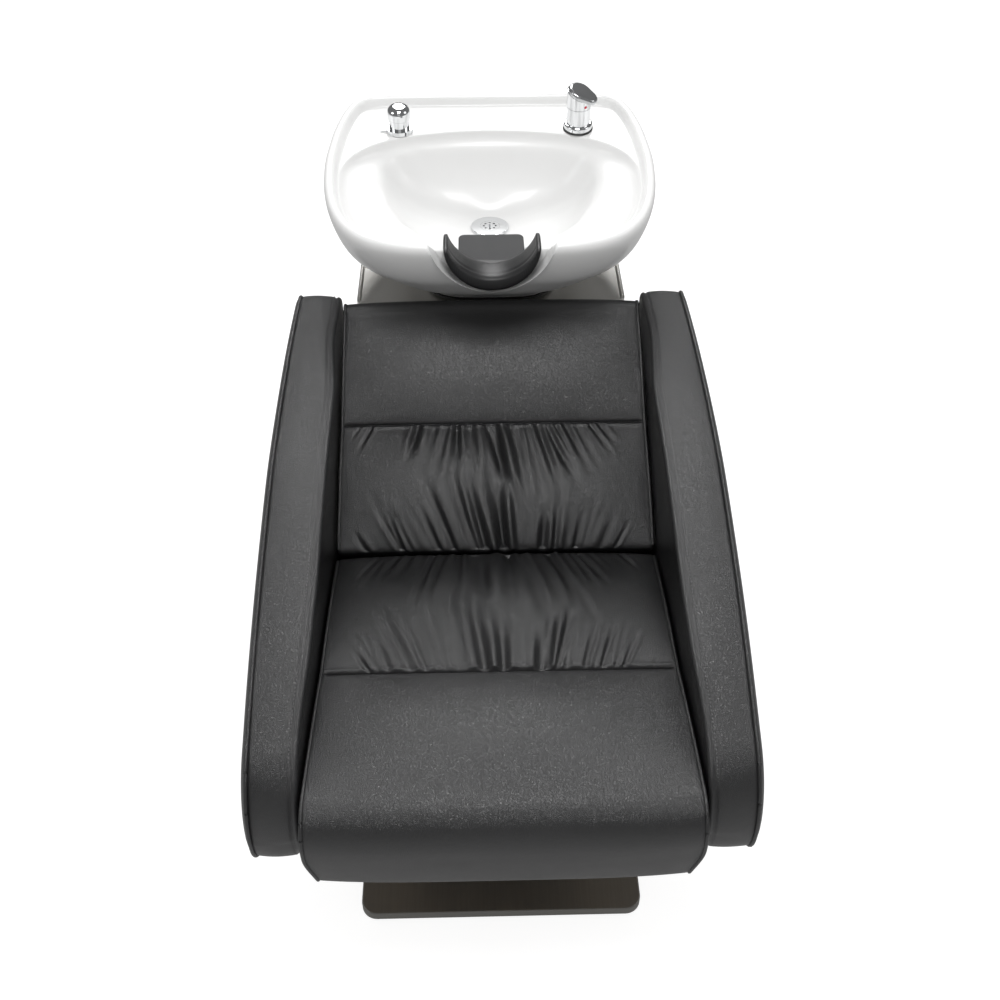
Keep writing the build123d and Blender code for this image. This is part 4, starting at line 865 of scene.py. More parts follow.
@dataclass(kw_only=True)
class Cushion:
    """What the seat and the back cushion share: a side profile carried across the bed.

    The profile starts at the crotch between the cushions, runs over the gathered panel to the seam and
    then over the smooth one.
    """

    name: str
    sizes: BodySizes
    leather: Material
    spine: tuple[Place, Place]
    gathers: Gathers
    waves: SlowWaves
    smooth_starts: Span
    smooth_fall: float
    easing_rounds: int
    crown: float = 13.0
    gathered_crown_share: float = 1.5
    side_crown_share: float = 0.3
    side_draw: float = 6.0
    seam_dip: float = 8.0
    cut_depth: float = 3.2
    cut_reach: float = 1.1
    dip_depth: float = 3.6
    dip_reach: float = 7.0
    lip_height: float = 1.8
    lip_place: float = -5.0
    lip_reach: float = 4.0
    side_gap: float = 2.0
    side_hollow: float = 1.5
    edge_round: float = 9.0
    edge_calm: float = 14.4
    edge_steps: int = 6
    closing_shares: tuple[float, ...] = (0.25, 0.55, 0.85, 1.0)
    piping_radius: float = 2.9
    piping_start: float = 4.0
    piping_sink: float = 1.5
    piping_inset: float = 3.2
    piping_points: int = 220
    profile_points: int = 1600
    fine_steps: int = 6000
    seam_weight: float = 5.0
    seam_spread: float = 5.0
    gathered_weight: float = 0.6
    unseen_weight: float = 0.15
    unseen_ease: float = 30.0
    columns: int = 392
    stations: int = 215

    def stretches(self, crown: float, dip: float, draw: float) -> tuple[list[Stretch], int, int]:
        """The profile's stretches, and how many of them lie up to the smooth panel's end and the seen end.

        Args:
            crown: How far the smooth panel bulges.
            dip: How far the seam lies below the panels.
            draw: How far the seen faces are drawn in.

        Returns:
            The stretches and the two numbers.
        """
        raise NotImplementedError

    def profile(self, crown_share: float, draw: float) -> tuple[np.ndarray, Marks]:
        """The closed side profile.

        Args:
            crown_share: Share of the panels' full crown and of the seam's full dip.
            draw: How far the seen faces are drawn in.

        Returns:
            The profile's points, evenly apart, and the lengths along it.
        """
        crown, dip = self.crown * crown_share, self.seam_dip * crown_share
        stretches, smooth_end, seen_end = self.stretches(crown, dip, draw)
        parts = outline(stretches)
        at = lengths_to(parts)
        loop = evenly(np.vstack(parts), self.profile_points, True)
        return smoothed(loop, self.easing_rounds), Marks(at[1], at[smooth_end], at[seen_end], at[-1])

    def detail(self, x: np.ndarray, run: np.ndarray, marks: Marks) -> np.ndarray:
        """Height of seam, gathers and unevenness on the profile.

        The sewn channel is a narrow cut with a wider soft dip round it, both falling off as powers of e.
        A bell-shaped lip stands before it. Gathers lie before the seam and slow waves behind it.

        Args:
            x: Place across.
            run: Length along the profile.
            marks: The profile's lengths.

        Returns:
            The height.
        """
        away = np.abs(run - marks.seam)
        cut = -self.cut_depth * np.exp(-away / self.cut_reach)
        dip = -self.dip_depth * np.exp(-away / self.dip_reach)
        lip = self.lip_height * np.exp(-(((run - marks.seam - self.lip_place) / self.lip_reach) ** 2))
        first, full = self.smooth_starts
        smooth = step(run, marks.seam + first, marks.seam + full)
        smooth = smooth * (1.0 - step(run, marks.smooth_end, marks.smooth_end + self.smooth_fall))
        gathers = self.gathers.height(x, run, marks.seam)
        return cut + dip + lip + gathers + smooth * self.waves.height(x, run)

    def columns_at(self, marks: Marks) -> np.ndarray:
        """Lengths along the profile for the grid's columns, closest at the seam.

        The weight of a length is 1 on the smooth panel, more on the gathers, most at the seam and least on
        the unseen faces. Equal shares of the summed weight give the columns.

        Args:
            marks: The profile's lengths.

        Returns:
            The lengths, from zero to just under the total.
        """
        fine = np.linspace(0.0, marks.total, self.fine_steps)
        unseen = step(fine, marks.seen_end - self.unseen_ease, marks.seen_end + self.unseen_ease)
        near = self.seam_weight * np.exp(-np.abs(fine - marks.seam) / self.seam_spread)
        weight = (1.0 - (1.0 - self.unseen_weight) * unseen) * (1.0 + near)
        weight = weight + self.gathered_weight * (fine < marks.seam)
        total = np.concatenate([[0.0], np.cumsum(weight[1:])])
        return np.interp(np.linspace(0.0, total[-1], self.columns, endpoint=False), total, fine)

    def half_width(self, loop: np.ndarray) -> np.ndarray:
        """Half the cushion's width at each point of the profile."""
        return self.sizes.inner(loop[:, 0]) - self.side_gap

    def rows(self) -> list[tuple[float, float, float]]:
        """The grid's rows: share of the half width, turn round the side's edge and share of the closing.

        Returns:
            Rows from the left spine to the right one.
        """
        even = np.linspace(-1.0, 1.0, self.stations)
        shares = (np.sin(even * QUARTER) + even) / 2
        right = [(1.0, turn, 0.0) for turn in np.linspace(0.0, QUARTER, self.edge_steps + 1)[1:]]
        right += [(1.0, QUARTER, closing) for closing in self.closing_shares]
        left = [(-1.0, turn, closing) for _, turn, closing in reversed(right)]
        return left + [(share, 0.0, 0.0) for share in shares[1:-1]] + right

    def grid(self) -> np.ndarray:
        """The cushion's points in metres.

        Across the bed the profile changes from its side form to its crowned form with 1 - u to the fourth.
        Near each side it is drawn in along a quarter circle, and the side face runs from there to the spine.

        Returns:
            Rows across the bed, columns round the profile.
        """
        middle, marks = self.profile(1.0, 0.0)
        side, _ = self.profile(self.side_crown_share, self.side_draw)
        run = self.columns_at(marks)
        place = run / marks.total * self.profile_points
        number = np.arange(self.profile_points + 1)
        middle, side = (places_at(place, number, np.vstack([loop, loop[:1]])) for loop in (middle, side))
        edge = self.edge_round
        points = []
        for share, turn, closing in self.rows():
            sign = math.copysign(1.0, share)
            loop = side + (middle - side) * (1.0 - abs(share) ** 4)
            half = self.half_width(loop)
            x = share * (half - edge) + sign * edge * math.sin(turn)
            height = self.detail(x, run, marks) * (1.0 - step(np.abs(x) - half, -self.edge_calm, 0.0))
            loop = loop + outward(loop) * (height - edge * (1.0 - math.cos(turn)))[:, None]
            loop = loop + (onto_spine(loop, self.spine) - loop) * closing
            points.append(np.column_stack([x - sign * self.side_hollow * closing, loop]))
        return np.array(points) * MM

    def piping_path(self, side: Side) -> np.ndarray:
        """A path along the seen part of the profile's edge on one side, in metres.

        Args:
            side: The side.

        Returns:
            Points an equal length apart.
        """
        loop, marks = self.profile(self.side_crown_share, self.side_draw)
        lengths = (self.piping_start, marks.seen_end)
        first, last = (int(self.profile_points * length / marks.total) for length in lengths)
        loop = (loop - outward(loop) * self.piping_sink)[first:last]
        half = self.half_width(loop) - self.piping_inset
        return evenly(np.column_stack([side.value * half, loop]) * MM, self.piping_points, False)

    def build(self) -> list[Piece]:
        """Makes the cushion and its piping.

        Returns:
            The cushion and its piping on both sides.
        """
        body = piece_from_grid(f"{self.name}_leather", self.grid(), self.leather)
        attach(body, "frame")
        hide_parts(self.name)
        made = [body]
        for side in Side:
            rings = tube(self.piping_path(side), self.piping_radius * MM)
            cord = piece_from_grid(f"{self.name}_piping_{side.name.lower()}", rings, self.leather)
            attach(cord, "frame")
            made.append(cord)
        LOG.info("%s: %d points", self.name, len(body.data.vertices))
        return made


@dataclass(kw_only=True)
class SeatCushion(Cushion):
    """Seat: a gathered panel behind, a channel, and a smooth panel with a waterfall front."""

    name: str = "seat_cushion"
    spine: tuple[Place, Place] = ((-530.0, 405.0), (-150.0, 405.0))
    gathers: Gathers = Gathers(seed=11, count=78, lean=0.10)
    waves: SlowWaves = SlowWaves(seed=5, size=190.0, depth=1.6)
    smooth_starts: Span = (15.0, 90.0)
    smooth_fall: float = 30.0
    easing_rounds: int = 160
    crotch: Place = (-87.0, 478.0)
    seam: Place = (-329.0, 483.0)
    front_top: Place = (-548.0, 489.0)
    nose: Place = (-602.0, 420.0)
    nose_share: float = 0.29
    nose_swell: float = 2.5
    under_z: float = 335.3
    under_setback: float = 12.0
    under_rear: float = 86.0
    tuck: float = 12.0
    tuck_z: float = 415.0
    tuck_y: Span = (-480.0, -590.0)

    def stretches(self, crown: float, dip: float, draw: float) -> tuple[list[Stretch], int, int]:
        """Arcs over the gathered and the smooth panel and down the front, then straight back below.

        Args:
            crown: How far the smooth panel bulges.
            dip: How far the seam lies below the panels.
            draw: How far the seen faces are drawn in.

        Returns:
            The stretches, and how many lie up to the nose and to the under side.
        """
        rear = (self.crotch[0], self.crotch[1] - draw)
        seam = (self.seam[0], self.seam[1] - dip - draw)
        top = (self.front_top[0], self.front_top[1] - draw)
        nose = (self.nose[0] + draw, self.nose[1])
        low = (nose[0] + self.under_setback, self.under_z)
        rear_mid = ((rear[0] + seam[0]) / 2, (rear[1] + seam[1]) / 2 + crown * self.gathered_crown_share)
        front_mid = ((seam[0] + top[0]) / 2, (seam[1] + top[1]) / 2 + crown)
        nose_mid = (
            nose[0] + (top[0] - nose[0]) * self.nose_share,
            top[1] - (top[1] - nose[1]) * self.nose_share,
        )
        low_mid = ((nose[0] + low[0]) / 2 - self.nose_swell, (nose[1] + low[1]) / 2)
        rear_low = (self.crotch[0] + self.under_rear, self.under_z)
        return [
            (rear, rear_mid, 60), (seam, front_mid, 60), (top, nose_mid, 30), (nose, low_mid, 20),
            (low, None, 40), (rear_low, None, 20),
        ], 3, 4

    def half_width(self, loop: np.ndarray) -> np.ndarray:
        """As wide as the gap between the arms, and narrower under the waterfall front."""
        below = 1.0 - step(loop[:, 1], self.under_z, self.tuck_z)
        return super().half_width(loop) - self.tuck * below * step(loop[:, 0], *self.tuck_y)


@dataclass(kw_only=True)
class BackCushion(Cushion):
    """Back: a gathered panel below, a channel, a smooth shoulder panel and a rolled top."""

    name: str = "back_cushion"
    spine: tuple[Place, Place] = ((-20.0, 470.0), (235.0, 655.0))
    gathers: Gathers = Gathers(seed=23, count=88, depth=3.8, lean=-0.20)
    waves: SlowWaves = SlowWaves(seed=7, size=170.0, depth=1.4)
    smooth_starts: Span = (15.0, 60.0)
    smooth_fall: float = 20.0
    easing_rounds: int = 260
    crotch: Place = (-86.0, 479.5)
    seam: Place = (88.0, 608.0)
    top: Place = (240.0, 724.0)
    rear_y: float = 265.7
    peak_z: float = 737.0
    peak_draw_share: float = 0.33
    thickness: float = 103.0
    board_slope: float = 0.7548

    def behind(self, place: Place, distance: float) -> Place:
        """A place moved square to the backrest, away from the sitter."""
        angle = math.atan2(self.top[1] - self.crotch[1], self.top[0] - self.crotch[0])
        return place[0] + math.sin(angle) * distance, place[1] - math.cos(angle) * distance

    def stretches(self, crown: float, dip: float, draw: float) -> tuple[list[Stretch], int, int]:
        """Arcs over both panels and the rolled top, then straight down the rear and along the board.

        Args:
            crown: How far the smooth panel bulges.
            dip: How far the seam lies below the panels.
            draw: How far the seen faces are drawn in.

        Returns:
            The stretches, and how many lie up to the rolled top and to the rear.
        """
        low = self.behind(self.crotch, draw)
        seam = self.behind(self.seam, draw + dip)
        top = self.behind(self.top, draw)
        half_low = ((low[0] + seam[0]) / 2, (low[1] + seam[1]) / 2)
        half_top = ((top[0] + seam[0]) / 2, (top[1] + seam[1]) / 2)
        peak = ((top[0] + self.rear_y) / 2 + draw * self.peak_draw_share, self.peak_z - draw)
        rear = (self.rear_y, self.top[1] - draw)
        low_rear = self.behind(self.crotch, self.thickness)
        rear_low = (self.rear_y, low_rear[1] + (self.rear_y - low_rear[0]) * self.board_slope)
        return [
            (low, self.behind(half_low, -crown * self.gathered_crown_share), 60),
            (seam, self.behind(half_top, -crown), 60),
            (top, peak, 20), (rear, None, 20), (rear_low, None, 50), (low_rear, None, 20),
        ], 2, 3


@dataclass
class Arm:
    """Padded arm: a side profile with a crowned top band, a piped outer edge and a stitched inner edge."""

    side: Side
    sizes: BodySizes
    leather: Material
    thread: Material
    columns: int = 420
    thickness: float = 80.0
    band_end: float = 69.0
    brow: Place = (-488.0, 528.0)
    crest: Place = (-120.0, 690.0)
    top_end: Place = (262.0, 741.0)
    rear_top: Place = (276.0, 727.0)
    rear_low: Place = (276.0, 480.0)
    slope_end: Place = (105.0, 356.0)
    under_rear: Place = (45.0, 335.0)
    under_front: Place = (-508.0, 335.0)
    chin: Place = (-567.0, 396.0)
    nose: Place = (-568.0, 415.0)
    spine: tuple[Place, Place] = ((-470.0, 425.0), (190.0, 590.0))
    inner_gap: float = 1.5
    skin: float = 1.0
    inner_round: float = 7.0
    crown: float = 2.5
    stitch_groove: float = 2.2
    stitch_share: float = 0.05
    stitch_reach_share: float = 0.035
    piping_groove: float = 2.0
    piping_reach_share: float = 0.03
    outer_drop: float = 26.0
    outer_hollow: float = 2.0
    inner_shares: tuple[float, ...] = (1.0, 0.8, 0.6, 0.42, 0.28, 0.18, 0.1, 0.05)
    outer_shares: tuple[float, ...] = (0.12, 0.25, 0.4, 0.6, 0.8, 1.0)
    swell: float = 13.0
    swell_width: float = 33.0
    swell_rear_y: Span = (170.0, 10.0)
    swell_front_y: Span = (-250.0, -480.0)
    swell_z: Span = (520.0, 590.0)
    wave_seed: int = 3
    wave_size: float = 240.0
    wave_depth: float = 1.5
    wave_step: float = 5.0
    wave_spread: float = 2.0
    seen_up: float = 0.02
    seen_ahead: float = 0.25
    piping_radius: float = 3.0
    piping_out: float = 0.5
    piping_lift: float = 0.4
    piping_points: int = 330
    stitch_line: float = 13.5
    stitch_lift: float = 0.1
    stitch_swell_share: float = 0.8
    stitch_points: int = 1400
    stitch_pitch: float = 5.2
    stitch_length: float = 3.4
    stitch_radius: float = 0.65

    def profile(self) -> np.ndarray:
        """The closed side profile: from the nose over the top to the rear, then back below.

        Returns:
            Points an equal length apart.
        """
        parts = outline([
            (self.nose, (-546.0, 480.0), 40), (self.brow, (-287.0, 628.0), 80),
            (self.crest, (60.0, 727.0), 80), (self.top_end, (272.0, 737.0), 8),
            (self.rear_top, None, 40), (self.rear_low, None, 40),
            (self.slope_end, (80.0, 341.0), 8), (self.under_rear, None, 70),
            (self.under_front, (-549.0, 354.0), 20), (self.chin, None, 0),
        ])
        return smoothed(evenly(np.vstack(parts), self.columns, True), 4)

    def section(self) -> list[tuple[float, float, float]]:
        """The band's section as rows of lateral place, inset from the profile and closing share.

        The inner face is nearly flat and turns into the top band round a quarter circle. The band is a
        low arc with a bell-shaped groove at each edge. Past it the leather swells out by a quarter sine
        and closes on the spine.

        Returns:
            Rows from the inner face's spine to the outer face's spine.
        """
        rows = [(self.inner_gap, 0.0, share) for share in self.inner_shares]
        for turn in np.linspace(0.0, QUARTER, 7):
            lateral = self.inner_round - (self.inner_round - self.skin) * math.cos(turn)
            rows.append((lateral, self.inner_round * (1.0 - math.sin(turn)), 0.0))
        for share in np.linspace(0.0, 1.0, 21)[1:]:
            lateral = self.inner_round + (self.band_end - self.inner_round) * share
            away = (share - self.stitch_share) / self.stitch_reach_share
            stitched = self.stitch_groove * math.exp(-(away ** 2))
            piped = self.piping_groove * math.exp(-((share - 1.0) / self.piping_reach_share) ** 2)
            rows.append((lateral, stitched + piped - self.crown * math.sin(math.pi * share), 0.0))
        for turn in np.linspace(0.0, QUARTER, 10)[1:]:
            lateral = self.band_end + (self.thickness - self.band_end) * math.sin(turn)
            rows.append((lateral, self.skin + self.outer_drop * (1.0 - math.cos(turn)), 0.0))
        for share in self.outer_shares:
            rows.append((self.thickness - self.outer_hollow * share, self.skin + self.outer_drop, share))
        return rows

    def overhang(self, loop: np.ndarray) -> np.ndarray:
        """How far the inner top edge swells over the cushions: most beside the seat, half as far in front."""
        beside = step(loop[:, 0], *self.swell_rear_y) * (1.0 - 0.5 * step(loop[:, 0], *self.swell_front_y))
        return self.swell * beside * step(loop[:, 1], *self.swell_z)

    def put(self, lateral: np.ndarray | float, loop: np.ndarray) -> np.ndarray:
        """Points in metres, a lateral distance outside the arm's inner face."""
        x = self.side.value * (self.sizes.inner(loop[:, 0]) + lateral)
        return np.column_stack([x, loop]) * MM

    def grid(self, loop: np.ndarray, normal: np.ndarray) -> np.ndarray:
        """The arm's points in metres.

        Each row of the section is the profile drawn in by its inset, waved a little and drawn to the spine
        by its closing share. The swell fades out across the band and down the inner face.

        Args:
            loop: The side profile.
            normal: Its outward normals.

        Returns:
            Rows of the section, columns round the profile.
        """
        run = np.arange(self.columns) * self.wave_step
        waves = SlowWaves(self.wave_seed + self.side.value, self.wave_size, self.wave_depth)
        swell = self.overhang(loop)
        spine = onto_spine(loop, self.spine)
        points = []
        for lateral, inset, share in self.section():
            uneven = waves.height(lateral * self.wave_spread, run) * (1.0 - share)
            ring = loop + normal * (uneven - inset)[:, None]
            held = min(1.0, max(0.0, lateral - self.inner_round) / self.swell_width)
            lean = swell * (1.0 - step(share, 0.0, 0.5)) * (1.0 - held)
            points.append(self.put(lateral - lean, ring + (spine - ring) * share))
        return np.array(points)

    def build(self) -> list[Piece]:
        """Makes the arm, its piping and its stitches, both along the seen top and front.

        Returns:
            The arm, its piping and its stitches.
        """
        loop = self.profile()
        normal = outward(loop)
        tag = self.side.name.lower()
        body = piece_from_grid(f"{tag}_arm_pad", self.grid(loop, normal), self.leather)
        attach(body, "frame")
        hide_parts(f"{tag}_arm")
        seen = (normal[:, 1] > self.seen_up) | (normal[:, 0] < -self.seen_ahead)
        order = np.roll(np.arange(self.columns), -int(np.argmax(~seen)))
        order = order[seen[order]]
        edge, out = loop[order], normal[order]
        line = self.put(self.band_end + self.piping_out, edge + out * self.piping_lift)
        path = evenly(line, self.piping_points, False)
        piping = piece_from_grid(f"{tag}_arm_piping", tube(path, self.piping_radius * MM), self.leather)
        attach(piping, "frame")
        lateral = self.stitch_line - self.stitch_swell_share * self.overhang(edge)
        path = evenly(self.put(lateral, edge + out * self.stitch_lift), self.stitch_points, False)
        stitches = self.stitches(path, f"{tag}_arm_stitches")
        LOG.info("%s arm: %d points", tag, len(body.data.vertices))
        return [body, piping, stitches]

    def stitches(self, path: np.ndarray, name: str) -> Piece:
        """A row of short stitches along a path.

        Args:
            path: Dense points along the seam, in metres.
            name: The piece's name.

        Returns:
            One piece with all stitches.
        """
        run = run_along(path)
        pitch, length = self.stitch_pitch * MM, self.stitch_length * MM
        rings, sides = 4, 5
        points, faces = [], []
        for number, start in enumerate(np.arange(pitch, run[-1] - pitch, pitch)):
            line = places_at(np.linspace(start, start + length, rings), run, path)
            points.append(tube(line, self.stitch_radius * MM, sides).reshape(-1, 3))
            faces.append(quads(number * rings * sides + np.arange(rings * sides).reshape(rings, sides)))
        made = piece_from_faces(name, np.vstack(points), np.vstack(faces)[:, ::-1], self.thread)
        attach(made, "frame")
        return made


# Basin: outlines from the back's middle to the front's middle, on the side of positive X, in millimetres

RIM_HALF = (
    (0, 220), (110, 220), (190, 219), (218, 212), (240, 195), (256, 150), (266, 100), (273, 30), (274, 0),
    (271, -60), (264, -105), (254, -140), (238, -175), (212, -205), (178, -226), (138, -237), (84, -241),
    (0, -242),
)
DISH_HALF = (
    (0, 122), (60, 119), (118, 110), (158, 99), (202, 77), (232, 47), (246, 12), (246, -50), (238, -104),
    (222, -146), (194, -178), (158, -198), (118, -208), (60, -213), (0, -214),
)
BOWL_HALF = (
    (0, 106), (60, 104), (120, 96), (160, 82), (182, 52), (184, 8), (172, -45), (146, -98), (108, -138),
    (60, -160), (0, -166),
)


def closed_half(half: tuple[Place, ...], count: int) -> np.ndarray:
    """A closed loop from one half of a symmetrical outline.

    The other half is its mirror image. The corners are eased and the points lie an equal length apart.

    Args:
        half: Places from the back's middle to the front's middle, on the side of positive X.
        count: How many points are wanted.

    Returns:
        The loop, starting at the back's middle.
    """
    right = np.array(half, float)
    left = right[-2:0:-1] * (-1.0, 1.0)
    dense = evenly(np.vstack([right, left]), 720, True)
    return evenly(smoothed(dense, 60), count, True)


@dataclass
class Basin:
    """Ceramic basin: rolled rim, rear deck, dish, bowl, neck notch and convex outside.

    Its cage is a stack of rings. Those round the drain and underneath are given as radius and rise over the
    drain, those of the bowl and dish as share and drop below the rim's plane, and the rim's as inset and
    drop. The flank's and the belly's are shares of the rim's width and length, shift and drop or height, and
    the foot's are share of the foot, shift and height.
    """

    glaze: Material
    columns: int = 160
    pivot_y: float = 383.1
    pivot_z: float = 925.0
    tilt: float = 6.4
    drain_y: float = 396.0
    drain_z: float = 792.6
    notch_radius: float = 76.0
    notch_z: float = 896.0
    wide_radius: float = 100.0
    wide_z: float = 920.0
    wall_y: float = 180.0
    notch_y: Span = (300.0, 240.0)
    throat: tuple[Place, ...] = ((16.5, -11.6), (16.5, -2.6), (20.0, -1.0), (36.0, -0.6), (52.0, 3.5))
    bowl_rings: tuple[Place, ...] = ((0.62, 118.0), (0.82, 96.0), (0.94, 68.0), (1.0, 49.0))
    dish_rings: tuple[Place, ...] = ((0.25, 43.0), (0.78, 36.0), (0.94, 28.0), (1.0, 20.0))
    dish_edge: Place = (2.5, 18.3)
    rim_rings: tuple[Place, ...] = (
        (25.5, 18.0), (22.0, 16.5), (19.0, 9.0), (16.0, 2.5), (10.0, 0.0), (4.0, 2.0), (0.5, 9.0),
        (1.0, 22.0),
    )
    flank_rings: tuple[tuple[float, ...], ...] = ((0.975, 0.975, 0.0, 48.0), (0.93, 0.93, 0.5, 80.0))
    belly_rings: tuple[tuple[float, ...], ...] = ((0.80, 0.81, 3.0, 802.0), (0.61, 0.62, 10.0, 752.0))
    foot_shares: Span = (0.43, 0.42)
    foot_shift: float = 14.0
    foot_rings: tuple[Triple, ...] = (
        (1.0, 0.0, 722.0), (1.0, 0.0, 711.6), (0.86, 2.0, 711.6), (0.84, 2.0, 735.0),
    )
    under_rings: tuple[Place, ...] = ((60.0, -17.6), (30.0, -12.6), (16.5, -11.6))

    def tilted(self, loop: np.ndarray, drop: float) -> np.ndarray:
        """Places of a loop on a plane at a depth below the tilted rim.

        Args:
            loop: Places across and along.
            drop: Depth below the rim's plane.

        Returns:
            The places with their height.
        """
        turn = math.radians(self.tilt)
        y = self.pivot_y + loop[:, 1] * math.cos(turn) + drop * math.sin(turn)
        z = self.pivot_z + loop[:, 1] * math.sin(turn) - drop * math.cos(turn)
        return np.column_stack([loop[:, 0], y, z])

    def level(self, loop: np.ndarray, z: float) -> np.ndarray:
        """Places of a loop on a level plane."""
        return np.column_stack([loop[:, 0], self.pivot_y + loop[:, 1], np.full(len(loop), z)])

    def drain_ring(self, radius: float, rise: float) -> np.ndarray:
        """A circle round the drain, matched to the loops' points, at a rise over the drain.

        Args:
            radius: The circle's radius.
            rise: Height over the drain.

        Returns:
            The circle's places.
        """
        angle = 2 * np.pi * np.arange(self.columns) / self.columns
        z = np.full(self.columns, self.drain_z + rise)
        return np.column_stack([radius * np.sin(angle), self.drain_y + radius * np.cos(angle), z])

    def rings(self) -> np.ndarray:
        """The cage: rings from the drain over bowl, dish, deck and rim, down outside and back inside.

        Returns:
            Rings, points in a ring and three coordinates.
        """
        rim, dish, bowl = (closed_half(half, self.columns) for half in (RIM_HALF, DISH_HALF, BOWL_HALF))
        normal = outward(rim)
        foot = rim * self.foot_shares + (0.0, self.foot_shift)
        edge, edge_drop = self.dish_edge
        rows = [self.drain_ring(radius, rise) for radius, rise in self.throat]
        rows += [self.tilted(bowl * share, drop) for share, drop in self.bowl_rings]
        rows += [self.tilted(bowl + (dish - bowl) * share, drop) for share, drop in self.dish_rings]
        rows += [self.tilted(dish + outward(dish) * edge, edge_drop)]
        rows += [self.tilted(rim - normal * inset, drop) for inset, drop in self.rim_rings]
        for wide, long, shift, drop in self.flank_rings:
            rows.append(self.tilted(rim * (wide, long) + (0.0, shift), drop))
        for wide, long, shift, z in self.belly_rings:
            rows.append(self.level(rim * (wide, long) + (0.0, shift), z))
        rows += [self.level(foot * share + (0.0, shift), z) for share, shift, z in self.foot_rings]
        rows += [self.drain_ring(radius, rise) for radius, rise in self.under_rings]
        return np.array(rows)

    def notch_floor(self, x: np.ndarray, radius: float, middle: float) -> np.ndarray:
        """Height of a round notch's floor at places across the basin, without end beside it."""
        depth = np.sqrt(np.clip(radius ** 2 - x ** 2, 0.0, None))
        return np.where(np.abs(x) < radius, middle - depth, np.inf)

    def notched(self, points: np.ndarray) -> np.ndarray:
        """Lowers the front wall to the neck notch.

        A point in front of the bowl keeps the lower of its own height and the notch's: a circle about
        a line along Y, and in front of the wall a wider circle with a higher middle.

        Args:
            points: The surface's places.

        Returns:
            The new places.
        """
        x, y, z = points.T
        narrow = self.notch_floor(x, self.notch_radius, self.notch_z)
        wide = np.minimum(narrow, self.notch_floor(x, self.wide_radius, self.wide_z))
        lowered = np.minimum(z, np.where(y < self.wall_y, wide, narrow))
        return np.column_stack([x, y, z + (lowered - z) * step(y, *self.notch_y)])

    def build(self) -> Piece:
        """Makes the cage, subdivides it twice and cuts the notch.

        Returns:
            The basin's shell.
        """
        cage = piece_from_grid("basin_cage", self.rings() * MM, self.glaze)
        divide = cage.modifiers.new("divide", "SUBSURF")
        divide.levels = 2
        divide.render_levels = 2
        mesh = finished_mesh(cage)
        bpy.data.objects.remove(cage)
        places = np.empty(len(mesh.vertices) * 3)
        mesh.vertices.foreach_get("co", places)
        mesh.vertices.foreach_set("co", (self.notched(places.reshape(-1, 3) / MM) * MM).ravel())
        mesh.update()
        mesh.name = "basin_shell"
        made = put_in_scene("basin_shell", mesh)
        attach(made, "frame")
        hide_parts("basin")
        LOG.info("basin: %d points", len(mesh.vertices))
        return made


# Neck rest


